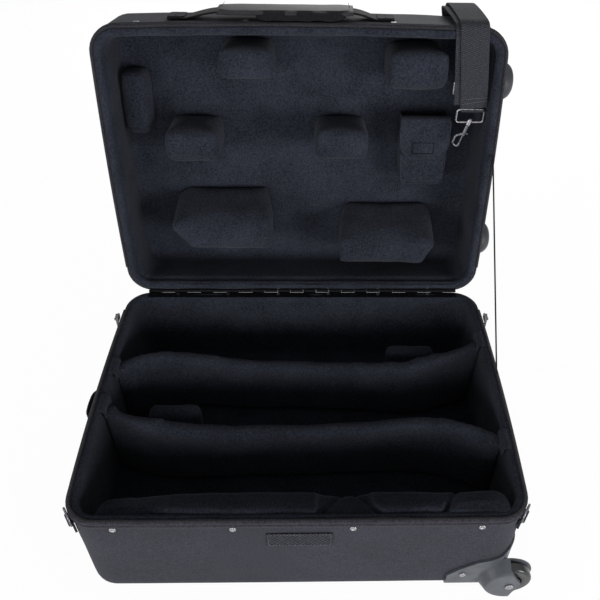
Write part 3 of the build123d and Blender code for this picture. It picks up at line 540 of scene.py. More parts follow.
# one half's cover from its rim round the edge and over its panel; share holds its wrinkles back
def coverShell(plan, rim, flat, steps, seed, share):
    turn, edge = 1 if flat > rim else -1, case["edgeRound"]
    walls = [(0.0, rim + (flat - turn * edge - rim) * n / steps) for n in range(steps + 1)]
    inset = edge + coverSkin["panelInset"]
    panel = [(edge + coverSkin["panelStarts"], flat), (inset, flat)]
    panel += [(inset, flat, s) for s in (0.8, 0.6, 0.4, 0.2, 0.0)]
    bm = planShell(plan, walls + quarter(0.0, flat - turn * edge, edge, turn)[1:] + panel)
    ripple(bm, coverSkin["wrinkle"], coverSkin["wrinkleSize"], seed, share)
    return bm


def baseCover():
    rim, low, fade = case["baseRim"] - coverSkin["backFromRim"], case["bottom"], coverSkin["fade"]
    bm = coverShell(basePlan, rim, low, coverSkin["baseSteps"], 3.1,
                    lambda co: clamp((rim - co.z) / fade, (co.z - low) / fade))
    piece = finishPiece("baseCover", bm, "base", "oxfordNylonCloth")
    thicken(piece, coverSkin["thickness"])
    cutters = coverCutters()
    for cutter in cutters:
        cut = piece.modifiers.new("opening", "BOOLEAN")
        cut.operation, cut.object, cut.solver = "DIFFERENCE", cutter, "EXACT"
    applyModifiers(piece)
    for cutter in cutters:
        bpy.data.objects.remove(cutter)
    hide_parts("base_cover")


def lidCover():
    rim, fade = case["lidRim"] + coverSkin["backFromRim"], coverSkin["fade"]
    bm = coverShell(lidPlan, rim, case["lidTop"], coverSkin["lidSteps"], 8.3,
                    lambda co: clamp((co.z - rim) / fade))
    piece = finishPiece("lidCover", bm, "lid", "oxfordNylonCloth", onLid=True)
    thicken(piece, coverSkin["thickness"])
    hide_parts("lid_cover")


baseCover()
lidCover()
print("covers sewn")

# the roll of each lining over its rim is (inset, height over the rim); the lid's is fat and soft
liningFold = {"baseInset": 0.0115, "lidInset": 0.0165, "thickness": 0.003, "nap": 0.0008,
              "ceilingDown": 0.0165, "baseRound": 0.010, "lidRound": 0.012,
              "baseRoll": [(0.0028, -0.0002), (0.0040, 0.0004), (0.0060, 0.0008), (0.0080, 0.0006),
                           (0.0098, -0.0008), (0.0110, -0.0030), (0.0115, -0.007)],
              "lidRoll": [(0.0030, -0.0002), (0.0042, -0.0012), (0.0062, -0.0018), (0.0086, -0.0019),
                          (0.0110, -0.0012), (0.0130, 0.0004), (0.0142, 0.0030), (0.0140, 0.0058),
                          (0.0126, 0.0084), (0.0138, 0.0110), (0.0160, 0.0135), (0.0165, 0.0175)]}


# turns a lining's faces to the inside of the case, so that its thickness goes towards the wall
def faceInside(bm):
    bm.normal_update()
    lean = sum(face.normal.xy.dot(face.calc_center_median().xy) * face.calc_area() for face in bm.faces)
    if lean > 0:
        bmesh.ops.reverse_faces(bm, faces=bm.faces)


def layLining(name, node, plan, rim, roll, rest, body, napSize, seed, onLid=False):
    bm = planShell(plan, [(inset, rim + z) for inset, z in roll] + rest)
    faceInside(bm)
    ripple(bm, liningFold["nap"], napSize, seed)
    piece = finishPiece(name, bm, body, "nappedPlush", onLid)
    thicken(piece, liningFold["thickness"])
    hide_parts(node)


# plush over the base's walls and floor, laid flat over the rim
def baseLining():
    rim, floor = case["baseRim"], case["wellFloor"]
    inset, r = liningFold["baseInset"], liningFold["baseRound"]
    wallTop, wallLost, steps = 0.014, 0.026, 10
    rest = [(inset, rim - wallTop - (rim - floor - wallLost) * n / steps) for n in range(steps + 1)]
    rest += quarter(inset, floor + r, r, -1, 4)[1:]
    rest += [(inset + r, floor, s) for s in (0.9, 0.75, 0.6, 0.45, 0.3, 0.15, 0.0)]
    layLining("baseLining", "base_lining", basePlan, rim, liningFold["baseRoll"], rest, "base", 0.05, 5.7)


# plush in the lid, down its walls and over its ceiling
def lidLining():
    rim, inset, r = case["lidRim"], liningFold["lidInset"], liningFold["lidRound"]
    ceiling, wallTop, steps = case["lidTop"] - liningFold["ceilingDown"], 0.022, 8
    rest = [(inset, rim + wallTop + (ceiling - r - rim - wallTop) * n / steps) for n in range(steps + 1)]
    rest += quarter(inset, ceiling - r, r, 1, 5)[1:]
    rest += [(inset + r, ceiling, 1 - 0.06 * n) for n in range(1, 17)] + [(0.0, ceiling, 0.0)]
    layLining("lidLining", "lid_lining", lidPlan, rim, liningFold["lidRoll"], rest, "lid", 0.055, 11.3,
              onLid=True)


baseLining()
lidLining()
print("linings fitted")

# the zipper band stops short of the hinge; its rows of stitches are a name and a height over the rim
rimBand = {"bandEnd": 0.155, "toothPitch": 0.0026, "stitchPitch": 0.0040, "wall": 0.0004,
           "stitchOut": 0.0011, "rows": (("Lower", -0.0102), ("Upper", -0.0047)), "teethIn": 0.0012,
           "teethUp": 0.0014}
# how far each point of the band's section stands out of the wall, and its height over the rim
bandSection = [
    (0.0002, -0.0112), (0.0010, -0.0108), (0.0011, -0.0098), (0.0016, -0.0090), (0.0018, -0.0074),
    (0.0016, -0.0058), (0.0006, -0.0050), (0.0005, -0.0044), (0.0013, -0.0036), (0.0016, -0.0020),
    (0.0014, -0.0004), (0.0006, 0.0008), (-0.0008, 0.0012), (-0.0022, 0.0010), (-0.0030, 0.0002)]


def rimRun(plan, inset, z):
    line = [spot - out * inset + Vector((0, 0, z)) for spot, out in plan]
    return [p for p in line if p.y < rimBand["bandEnd"]]


# a bound tape round three sides with two rows of stitches, and the zipper's teeth on its inner edge
def zipperBand(name, plan, rim, up, body, onLid, node, thread):
    runs = [rimRun(plan, -out, rim + up * z) for out, z in bandSection]
    count = min(len(run) for run in runs)

    def place(u, v):
        return runs[round(v * (len(runs) - 1))][round(u * (count - 1))]

    bm = sheetMesh(count - 1, len(runs) - 1, place, (1.2, 0.02))
    bmesh.ops.recalc_face_normals(bm, faces=bm.faces)
    piece = finishPiece(name + "Tape", bm, body, "boundPiping", onLid)
    thicken(piece, rimBand["wall"])
    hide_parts(node)
    outward = wallOut(plan)
    for row, height in rimBand["rows"]:
        seam = rimRun(plan, -rimBand["stitchOut"], rim + up * height)
        stampRow(f"{name}{row}Stitches", stitchShape(0.0026, 0.0010, 0.0008), seam, rimBand["stitchPitch"],
                 outward, body, thread, onLid)
    teeth = rimRun(plan, rimBand["teethIn"], rim + up * rimBand["teethUp"])
    stampRow(name + "Teeth", toothShape(), teeth, rimBand["toothPitch"], (0, 0, up), body, "zipperCoil",
             onLid)


zipperBand("baseZipper", basePlan, case["baseRim"], 1, "base", False, "base_zipper", "sewingThread")
zipperBand("lidZipper", lidPlan, case["lidRim"], -1, "lid", True, "lid_zipper", "paleThread")
print("zipper bands sewn on")


def relax(bm, times):
    for n in range(times):
        bmesh.ops.smooth_vert(bm, verts=bm.verts, factor=0.5, use_axis_x=True, use_axis_y=True,
                              use_axis_z=True)


# a padded piece, blown up from its plain solid by cloth under pressure and held within a cap of it
def softPad(name, nodes, body, settings, shape=None, material="nappedPlush"):
    bm = bmesh.new()
    for node in nodes:
        bm.from_mesh(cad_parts[node].data)
    bmesh.ops.remove_doubles(bm, verts=bm.verts, dist=weld)
    for z in settings.get("cutAbove", []):
        halves = bmesh.ops.bisect_plane(bm, geom=bm.verts[:] + bm.edges[:] + bm.faces[:], dist=1e-6,
                                        plane_co=(0, 0, z), plane_no=(0, 0, 1), clear_outer=True)
        rims = [e for e in halves["geom_cut"] if isinstance(e, bmesh.types.BMEdge)]
        bmesh.ops.holes_fill(bm, edges=rims, sides=0)
    bm.normal_update()
    for vert, way in [(v, v.normal.copy()) for v in bm.verts]:
        vert.co -= way * settings["shrink"]
    piece = finishPiece(name, bm, body, material)
    voxels = piece.modifiers.new("even", "REMESH")
    voxels.mode, voxels.voxel_size = "VOXEL", settings["voxel"]
    applyModifiers(piece)
    before = [v.co.copy() for v in piece.data.vertices]
    if settings["pressure"]:
        cloth = piece.modifiers.new("cloth", "CLOTH")
        cloth.settings.quality = settings["quality"]
        cloth.settings.tension_stiffness = settings["tension"]
        cloth.settings.compression_stiffness = settings["tension"]
        cloth.settings.use_pressure = True
        cloth.settings.uniform_pressure_force = settings["pressure"]
        cloth.settings.effector_weights.gravity = 0.0
        cloth.collision_settings.use_self_collision = False
        for n in range(1, settings["frames"] + 1):
            scene.frame_set(n)
        applyModifiers(piece)
        scene.frame_set(1)
    for vert, start in zip(piece.data.vertices, before):
        move = vert.co - start
        if move.length > settings["cap"]:
            vert.co = start + move.normalized() * settings["cap"]
    bm = bmesh.new()
    bm.from_mesh(piece.data)
    relax(bm, settings["relax"])
    if settings["finer"]:
        bmesh.ops.subdivide_edges(bm, edges=bm.edges, cuts=1, use_grid_fill=True)
        relax(bm, 1)
    if shape:
        for vert in bm.verts:
            vert.co = shape(vert.co)
    ripple(bm, settings["nap"], settings["napSize"], settings["seed"])
    bm.to_mesh(piece.data)
    bm.free()
    shadeSmooth(piece)
    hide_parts(*nodes)


pad = {"voxel": 0.0042, "shrink": 0.0003, "pressure": 3.2, "tension": 4.0, "cap": 0.0045, "relax": 3,
       "nap": 0.0009, "napSize": 0.03, "fill": 0.85, "finer": True, "quality": 4, "frames": 16}
# each lid pad's X and Y on the closed lid, and how far its stuffing reaches past its block to the left, to
# the right and away from the front wall
padReach = [((-0.104, -0.036, -0.168, -0.130), (0.005, 0.000, 0.003)),
            ((0.119, 0.195, -0.165, -0.119), (0.003, 0.002, 0.004)),
            ((-0.186, -0.113, -0.058, -0.015), (0.005, -0.003, 0.003)),
            ((0.018, 0.092, -0.059, -0.022), (0.000, 0.002, 0.006)),
            ((-0.190, -0.047, 0.052, 0.130), (0.009, 0.000, 0.002)),
            ((0.058, 0.198, 0.076, 0.156), (0.002, 0.006, 0.000))]
padMargin = 0.012
closeLid = openLid.inverted()


def lidPadShape(co):
    at = closeLid @ co
    for (x0, x1, y0, y1), (left, right, away) in padReach:
        if x0 - padMargin < at.x < x1 + padMargin and y0 - padMargin < at.y < y1 + padMargin:
            across, along = (at.x - x0) / (x1 - x0), (at.y - y0) / (y1 - y0)
            at.x += right * across - left * (1 - across)
            at.y += away * along
            break
    return openLid @ at


softPad("lidBlockPads", ["lid_pads"], "lid", {**pad, "seed": 2.3, "relax": 4}, lidPadShape)
softPad("leftWedgePad", ["left_lid_pad"], "lid", {**pad, "seed": 4.1, "pressure": 1.4}, lidPadShape)
softPad("rightWedgePad", ["right_lid_pad"], "lid", {**pad, "seed": 6.9, "pressure": 1.4}, lidPadShape)
softPad("middleRestPad", ["middle_rest_pad"], "base", {**pad, "seed": 1.7, "shrink": 0.0016})
softPad("backRestPad", ["back_rest_pad"], "base", {**pad, "seed": 9.2, "shrink": 0.0016})
print("pads blown up")

divider = {**pad, "voxel": 0.0048, "shrink": 0.0012, "pressure": 2.5, "cap": 0.003, "nap": 0.0012,
           "napSize": 0.045, "fill": 0.8, "cutAbove": [0.1668]}
softPad("frontDivider", ["front_divider"], "base", {**divider, "seed": 12.4})
softPad("backDivider", ["back_divider"], "base", {**divider, "seed": 14.8})

# the front cushion's top falls away where the bells lie, and deep creases mark where it was tacked down; a
# crease is its X, how it leans and its width
cushion = {"dipFrom": 0.020, "dipTo": 0.088, "dip": 0.013, "dipPower": 0.6, "leftSlope": -0.150,
           "slope": 0.22, "low": 0.043, "high": 0.168, "frontBulge": 0.0066, "frontRise": 0.0085,
           "frontFace": -0.160, "frontDeep": 0.014, "frontTop": 0.1724, "crease": 0.0065, "creaseY": -0.172,
           "foldY": -0.170, "foldFront": 1.5, "foldBack": 0.9,
           "creases": ((0.030, 0.9, 0.0050), (0.088, -0.8, 0.0055), (0.174, 0.7, 0.0045))}


def cushionShape(co):
    share = max(0.0, (co.z - cushion["low"]) / (cushion["high"] - cushion["low"])) ** 2
    dip = 0.0
    if cushion["dipFrom"] < co.x < cushion["dipTo"]:
        part = (co.x - cushion["dipFrom"]) / (cushion["dipTo"] - cushion["dipFrom"])
        dip += cushion["dip"] * sin(pi * part) ** cushion["dipPower"]
    if co.x < cushion["leftSlope"]:
        dip += (cushion["leftSlope"] - co.x) * cushion["slope"]
    fold = cushion["foldFront"] if co.y < cushion["foldY"] else cushion["foldBack"]
    for x, lean, width in cushion["creases"]:
        away = abs(co.x - x - (co.y - cushion["creaseY"]) * lean) / width
        dip += cushion["crease"] * max(0.0, 1 - away) * fold
    near = clamp((cushion["frontFace"] - co.y) / cushion["frontDeep"])
    raised = min(co.z + cushion["frontRise"] * share * near, max(co.z, cushion["frontTop"]))
    return Vector((co.x, co.y - cushion["frontBulge"] * share * near, raised - dip * share))


softPad("frontCushion", ["front_cushion"], "base",
        {**pad, "seed": 17.5, "shrink": 0.0012, "nap": 0.0013, "napSize": 0.05, "fill": 0.75,
         "voxel": 0.004}, cushionShape)
print("dividers and front cushion stuffed")

# divider tabs folded over the rim: each place is a side and a Y
tabs = {"width": 0.030, "thickness": 0.0014, "outer": 0.2655, "inner": 0.2575, "drop": 0.016,
        "rise": 0.0017,
        "places": {"backLeft": (-1, 0.042), "backRight": (1, 0.093), "frontLeft": (-1, -0.024),
                   "frontRight": (1, -0.084)}}
for place, (side, y) in tabs["places"].items():
    top, inner = case["baseRim"] + tabs["rise"], tabs["inner"]
    section = [(tabs["outer"], 0.0016), (tabs["outer"] - 0.003, 0.0), (inner + 0.002, 0.0004),
               (inner - 0.001, 0.004), (inner - 0.002, tabs["drop"])]
    line = smoothLine([(side * x, y, top - down) for x, down in section], 0.0015)
    webbing(place + "Tab", line, tabs["width"], tabs["thickness"], (0, 1, 0), "base", "nappedPlush")
print("divider tabs folded over")


# the four corners of a rectangle and the first again, to sew round
def corners(low, high, start, end):
    return (low, start), (high, start), (high, end), (low, end), (low, start)


# the accessory pouch and its flap, drawn on the closed lid: a slack bag, and a tongue with a piped edge and
# a bare sewn rectangle. Its foot tapers and its top is drawn down; seam is where its piping runs from x0
pouch = {"x0": 0.143, "x1": 0.212, "y0": -0.071, "front": 0.220, "tip": -0.008, "corner": 0.024,
         "side": 0.0010, "lift": 0.0028, "piping": 0.0013, "seamPiping": 0.0010, "pipeStep": 0.002,
         "topDown": 0.005, "topFrom": -0.040, "topLong": 0.031, "taper": 0.12, "taperFrom": -0.010,
         "taperLong": 0.043, "thickness": 0.0018, "edge": 0.0005, "sewn": (0.160, 0.191, -0.032, -0.016),
         "foldShare": 0.12, "foldY": 0.004, "foldZ": 0.008, "gather": 0.0016, "gatherLong": 0.022,
         "slack": 0.0012, "belly": 0.0022,
         "seam": ((0.001, -0.012), (0.0024, 0.012), (0.0048, 0.028), (0.012, 0.0325))}


def pouchShape(co):
    at = closeLid @ co
    low = clamp((at.y - pouch["taperFrom"]) / pouch["taperLong"])
    high = clamp((pouch["topFrom"] - at.y) / pouch["topLong"])
    middle = (pouch["x0"] + pouch["x1"]) / 2
    at.x = middle + (at.x - middle) * (1 - pouch["taper"] * low * low)
    at.y += pouch["topDown"] * high
    return openLid @ at


# how far to each side of its middle the flap reaches at one place of its length
def flapHalf(y):
    half, r = (pouch["x1"] - pouch["x0"]) / 2 + pouch["side"], pouch["corner"]
    past = max(0.0, min(r, y - (pouch["tip"] - r)))
    return half - r + (r * r - past * past) ** 0.5


# a place of the flap: v runs from its sewn fold to its tip
def flapSpot(u, v):
    top, face = pouch["y0"] + pouch["topDown"] - 0.002, pouch["front"] - pouch["lift"]
    fold = pouch["foldShare"]
    if v < fold:
        a = pi / 2 * v / fold
        y, z = top + pouch["foldY"] * (1 - cos(a)), face + pouch["foldZ"] * (1 - sin(a))
    else:
        start = top + pouch["foldY"]
        y, z = start + (pouch["tip"] - top - pouch["foldY"]) * (v - fold) / (1 - fold), face
    x = (pouch["x0"] + pouch["x1"]) / 2 + (2 * u - 1) * flapHalf(y)
    gather = pouch["gather"] * max(0.0, 1 - (y - top) / pouch["gatherLong"])
    gather *= noise.noise(Vector((x * 170, 4.2, 0)))
    slack = pouch["slack"] * noise.noise(Vector((x * 40, y * 40, 1.3)))
    return Vector((x, y, z - pouch["belly"] * sin(pi * u) * min(1.0, v * 3) + gather + slack))


def accessoryPouch():
    panel = {**pad, "pressure": 0.0, "fill": 0.0, "finer": False, "voxel": 0.0016, "relax": 4,
             "nap": 0.0010, "napSize": 0.022, "cap": 0.001, "shrink": 0.0}
    softPad("pouchBag", ["accessory_pouch"], "lid", {**panel, "seed": 21.3}, pouchShape)
    bm = sheetMesh(40, 44, flapSpot)
    bmesh.ops.recalc_face_normals(bm, faces=bm.faces)
    flap = finishPiece("pouchFlap", bm, "pouch_flap", "nappedPlush", True)
    thicken(flap, pouch["thickness"], 0.0, pouch["edge"])
    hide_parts("pouch_flap")
    steps, across = 60, 20
    edge = [flapSpot(0.0, n / steps) for n in range(8, steps + 1)]
    edge += [flapSpot(n / across, 1.0) for n in range(1, across)]
    edge += [flapSpot(1.0, n / steps) for n in range(steps, 7, -1)]
    edge = evenly([p + Vector((0, 0, -0.0004)) for p in edge], pouch["pipeStep"])
    piping("flapPiping", edge, pouch["piping"], "pouch_flap", "plushPiping", True)
    seam = [Vector((pouch["x0"] + x, y, pouch["front"] + 0.0004)) for x, y in pouch["seam"]]
    seam += [Vector((pouch["x0"] + pouch["x1"] - p.x, p.y, p.z)) for p in seam[::-1]]
    seam = smoothLine(seam, pouch["pipeStep"])
    piping("pouchPiping", seam, pouch["seamPiping"], "lid", "plushPiping", True)
    face = pouch["front"] - pouch["lift"] - 0.0034
    square = [Vector((x, y, face)) for x, y in corners(*pouch["sewn"])]
    stampRow("flapStitches", stitchShape(0.0024, 0.0009, 0.0014), square, 0.0030, (0, 0, -1), "pouch_flap",
             "sewingThread", True)


accessoryPouch()
print("pouch sewn")

# a bare woven label on the front wall, sewn down all round
label = {"x0": -0.038, "x1": 0.040, "z0": 0.118, "z1": 0.146, "stand": 0.0012, "seam": 0.002,
         "thickness": 0.0009, "edge": 0.0003, "threadOut": 0.0006}


def labelPatch():
    def place(u, v):
        x = label["x0"] + (label["x1"] - label["x0"]) * u
        z = label["z0"] + (label["z1"] - label["z0"]) * v
        return Vector((x, wall - label["stand"], z))

    wall, seam = -case["halfDepth"] - case["baseFrontBow"], label["seam"]
    piece = finishPiece("labelPatch", sheetMesh(40, 16, place), "base", "labelWeave")
    thicken(piece, label["thickness"], 0.0, label["edge"])
    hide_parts("label_patch")
    box = [Vector((x, wall - label["stand"] - label["threadOut"], z)) for x, z in
           corners(label["x0"] + seam, label["x1"] - seam, label["z0"] + seam, label["z1"] - seam)]
    stampRow("labelStitches", stitchShape(0.0026, 0.0009, 0.0007), box, 0.0038, (0, -1, 0), "base",
             "paleThread")


labelPatch()

# webbing grab handle at the end away from the wheels; its line is Y and how far it rises off the wall
grab = {"wall": -0.2736, "rise": 0.011, "z": 0.141, "width": 0.025, "thickness": 0.0028,
        "line": [(-0.064, 0.0), (-0.054, 0.0), (-0.040, 0.0), (-0.028, 0.82), (-0.018, 1.0), (-0.004, 1.0),
                 (0.008, 0.82), (0.020, 0.0), (0.034, 0.0), (0.044, 0.0)],
        "boxes": {"Low": -0.058, "High": 0.038}, "boxHalf": 0.005, "boxZ": (0.131, 0.151)}
grabLine = smoothLine([(grab["wall"] - grab["thickness"] / 2 - grab["rise"] * out, y, grab["z"])
                       for y, out in grab["line"]], 0.003)
grabStrap = webbing("grabStrap", grabLine, grab["width"], grab["thickness"], (0, 0, 1), "base",
                    "smoothWebbing")
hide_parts("end_handle")
for end, y in grab["boxes"].items():
    box = [Vector((grab["wall"] - grab["thickness"] - 0.0002, *spot)) for spot in
           corners(y - grab["boxHalf"], y + grab["boxHalf"], *grab["boxZ"])]
    stampRow("grabStitches" + end, stitchShape(), box, 0.0036, (-1, 0, 0), "base", "sewingThread")
print("label and grab handle sewn on")

# the carry handle, drawn on the closed lid: a webbing arch, and a padded wrap with a lapped, wavy edge.
# Each half of the arch bends from its sewn foot on the lid to the wrap, which lifts. A leaf hangs from the
# wrap towards the rim: its ends, its start, how far it reaches and falls, its thickness, seed and finish
carry = {"y": -0.2006, "rise": 0.0085, "split": -0.018, "z0": 0.200, "z1": 0.236, "thickness": 0.0025,
         "wrapX0": -0.106, "wrapX1": 0.068, "over": 0.0062, "under": 0.0042, "side": 0.0040,
         "lowSide": 0.0140, "endTaper": 0.16, "hemWave": 0.25, "rounding": 0.10, "lumps": 0.10,
         "flatness": -0.35, "fill": 0.6,
         "line": [(-0.172, 0.0), (-0.160, 0.0), (-0.146, 0.02), (-0.120, 0.72), (-0.095, 1.0),
                  (-0.060, 1.0), (-0.015, 1.0), (0.030, 1.0), (0.062, 1.0), (0.079, 0.72), (0.098, 0.02),
                  (0.110, 0.0), (0.122, 0.0)],
         "halves": (("leftHandleArch", -0.146, "wrapX0"), ("rightHandleArch", 0.098, "wrapX1")),
         "leaves": (
             ("wrapInnerLeaf", -0.056, 0.058, 0.1900, 0.0125, 0.0095, 0.0012, 3.3, "gripLiningCloth"),
             ("wrapOuterLeaf", -0.103, 0.062, 0.1930, 0.0095, 0.0045, 0.0015, 7.7, "gripWrap")),
         "seams": (-0.1010, 0.0630), "seamOver": 0.0064, "seamPast": 0.002}


def carryHandle():
    middle, width = (carry["z0"] + carry["z1"]) / 2, carry["z1"] - carry["z0"]
    line = smoothLine([(x, carry["y"] - carry["rise"] * rise, middle) for x, rise in carry["line"]], 0.003)
    top = carry["y"] - carry["rise"]
    for name, foot, held in carry["halves"]:
        half = [p for p in line if (p.x < carry["split"]) == (foot < 0)]
        arch = webbing(name, half, width, carry["thickness"], (0, 0, 1), None, "smoothWebbing",
                       onLid=True)
        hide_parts("carry_handle")
        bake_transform(arch)

    # round the webbing at one place of the wrap's length
    def wrapPlace(u, v):
        x = carry["wrapX0"] + (carry["wrapX1"] - carry["wrapX0"]) * u
        full = 1 - carry["endTaper"] * abs(2 * u - 1) ** 6
        a = 2 * pi * v
        hem = carry["lowSide"] * (1 + carry["hemWave"] * noise.noise(Vector((x * 26, 9, 0))))
        half = width / 2 + (carry["side"] if cos(a) > 0 else hem) * full
        across = cos(a) * half * (1 - carry["rounding"] * sin(a) ** 2)
        reach = (carry["over"] if sin(a) < 0 else carry["under"]) * full
        lump = 1 + carry["lumps"] * noise.noise(Vector((x * 38, across * 40, 2.5)))
        out = sin(a) * abs(sin(a)) ** carry["flatness"] * reach * lump if sin(a) else 0.0
        return Vector((x, top + out, middle + across))

    bm = sheetMesh(60, 40, wrapPlace)
    bmesh.ops.remove_doubles(bm, verts=bm.verts, dist=weld)
    ends = [e for e in bm.edges if len(e.link_faces) == 1]
    bmesh.ops.holes_fill(bm, edges=ends, sides=0)
    bmesh.ops.recalc_face_normals(bm, faces=bm.faces)
    wrap = finishPiece("handleWrap", bm, "handle", "gripWrap", True)
    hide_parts("handle_wrap")

    for name, x0, x1, start, reach, fall, thickness, seed, finish in carry["leaves"]:
        def place(u, v):
            x = x0 + (x1 - x0) * u
            taper = min(1.0, 9 * u, 9 * (1 - u)) ** 0.6
            wave = noise.noise(Vector((x * 32, seed, 0)))
            out = top - 0.004 + fall * v + 0.0016 * v * noise.noise(Vector((x * 60, seed, 5)))
            return Vector((x, out - 0.0012 * sin(pi * v), start - reach * v * taper * (1 + 0.22 * wave)))

        leaf = finishPiece(name, sheetMesh(64, 10, place), "handle", finish, True)
        thicken(leaf, thickness, 0.0, thickness * edgeShare)
    for n, x in enumerate(carry["seams"]):
        seam = [Vector((x, top - carry["seamOver"], z))
                for z in (carry["z0"] - carry["seamPast"], carry["z1"] + carry["seamPast"])]
        stampRow(f"wrapStitches{n + 1}", stitchShape(), seam, 0.0036, (0, -1, 0), "handle", "sewingThread",
                 True)


carryHandle()
print("carry handle wrapped")

# the shoulder strap: doubled over the lid's front wall, its long loop hanging behind the lid. Its line is
# the Y and Z and then the X of its middle; a row of stitches is its Z and how much it leans
strap = {"width": 0.0365, "thickness": 0.0015, "line": [
    (0.2585, 0.4522, 0.2357), (0.2585, 0.480, 0.2325), (0.2580, 0.510, 0.2285), (0.2583, 0.540, 0.2243),
    (0.2583, 0.5575, 0.2220), (0.2610, 0.5648, 0.2212), (0.2690, 0.5672, 0.2207), (0.2840, 0.5668, 0.2202),
    (0.3180, 0.5650, 0.2185), (0.3500, 0.5610, 0.2170), (0.3640, 0.5535, 0.2175), (0.3720, 0.5400, 0.2185),
    (0.3740, 0.510, 0.2200), (0.3745, 0.400, 0.2240), (0.3745, 0.300, 0.2265), (0.3745, 0.210, 0.2275),
    (0.3725, 0.1905, 0.2275), (0.3685, 0.1850, 0.2275), (0.3645, 0.1905, 0.2275), (0.3625, 0.210, 0.2275),
    (0.3635, 0.300, 0.2265), (0.3650, 0.400, 0.2240), (0.3690, 0.505, 0.2190), (0.3680, 0.5350, 0.2160),
    (0.3610, 0.5490, 0.2125), (0.3500, 0.5570, 0.2105), (0.3180, 0.5612, 0.2125), (0.2840, 0.5632, 0.2150),
    (0.2690, 0.5634, 0.2158), (0.2632, 0.5608, 0.2160), (0.2614, 0.5540, 0.2165), (0.2612, 0.520, 0.2202),
    (0.2612, 0.490, 0.2236), (0.2610, 0.458, 0.2270)],
    "face": 0.2585, "rowX": 0.2355, "rowHalf": 0.0165, "rows": ((0.4672, 0.0018), (0.4615, 0.0026)),
    "waver": 0.0005, "barX": 0.2357, "barZ": 0.4508, "turn": 0.0030, "foldWidth": 0.0345,
    "foldThickness": 0.0014}


def shoulderStrap():
    line = smoothLine([(x, y, z) for y, z, x in strap["line"]], 0.003)
    across = []
    for before, after in zip(line[:1] + line, line[1:] + line[-1:]):
        along = (after - before).normalized()
        across.append((Vector((1, 0, 0)) - along * along.x).normalized())
    piece = webbing("shoulderStrap", line, strap["width"], strap["thickness"], across, "lid",
                    "ribbedWebbing", cells=10)
    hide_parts("shoulder_strap")
    # two wavering rows of stitches hold the end that is turned back round the loop
    for n, (z, lean) in enumerate(strap["rows"]):
        row = [Vector((strap["rowX"] + x, strap["face"] - strap["thickness"] / 2 - 0.0003,
                       z + lean * x / 0.017 + strap["waver"] * sin(x * 900)))
               for x in (strap["rowHalf"] * k / 8 for k in range(-8, 9))]
        stampRow(f"strapStitches{n + 1}", stitchShape(0.0022, 0.0009, 0.0008), row, 0.0030,
                             (0, -1, 0), "lid", "paleThread")
    # the turned-back end, round the loop's upper bar
    r = strap["turn"]
    turn = [Vector((strap["barX"], strap["face"] - r * sin(a), strap["barZ"] - r * cos(a)))
            for a in (pi * n / 12 - pi / 2 for n in range(13))]
    fold = webbing("strapFold", turn, strap["foldWidth"], strap["foldThickness"], (1, 0, 0), "lid",
                   "ribbedWebbing", cells=10)
    lineLength(line)


shoulderStrap()
print("shoulder strap draped")


# the taut tape that stops the lid, sewn to both rims
stay = {"foot": (0.2712, 0.0280, 0.1760), "head": (0.2676, -0.030, 0.1720), "width": 0.0046,
        "thickness": 0.0012, "tabWidth": 0.0072, "tabLong": 0.018, "tabOut": 0.0012, "tabDown": 0.0020,
        "stitched": (0.002, 0.0135), "headHeld": 0.02}


def lidStay():
    foot, head = Vector(stay["foot"]), openLid @ Vector(stay["head"])
    run = (head - foot).normalized()
    across = run.cross(Vector((1, 0, 0))).normalized()
    tape = webbing("lidStay", evenly([foot, head], 0.004), stay["width"], stay["thickness"], across, None,
                   "smoothWebbing", cells=3)
    high, low = (foot + Vector((stay["tabOut"], 0, -down)) for down in (stay["tabDown"], stay["tabLong"]))
    webbing("lidStayTab", evenly([high, low], 0.003), stay["tabWidth"], stay["thickness"], (0, 1, 0),
            "base", "smoothWebbing", cells=3)
    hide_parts("lid_stay")
    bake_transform(tape)
    row = [low + Vector((stay["thickness"] / 2 + 0.0003, 0, rise)) for rise in stay["stitched"]]
    stampRow("lidStayStitches", stitchShape(), row, 0.0034, (1, 0, 0), "base", "paleThread")


lidStay()

# the outer pocket on the lid's panel: a slack bag with a piped edge and a zipper along its upper side. A
# pipe is its name, how far it stands out of the edge and its height
pocket = {"x0": -0.215, "x1": 0.188, "y0": -0.186, "y1": 0.120, "corner": 0.022, "middleY": -0.033,
          "pipes": (("pocketFootPiping", 0.0006, 0.2748), ("pocketTopPiping", -0.0040, 0.2885)),
          "pipeRadius": 0.0014, "zipZ": 0.2904, "zipY": -0.160, "zipInset": 0.022, "zipWidth": 0.020,
          "zipThickness": 0.0010, "teethUp": 0.0010, "threadUp": 0.0007, "threadOut": 0.0085}


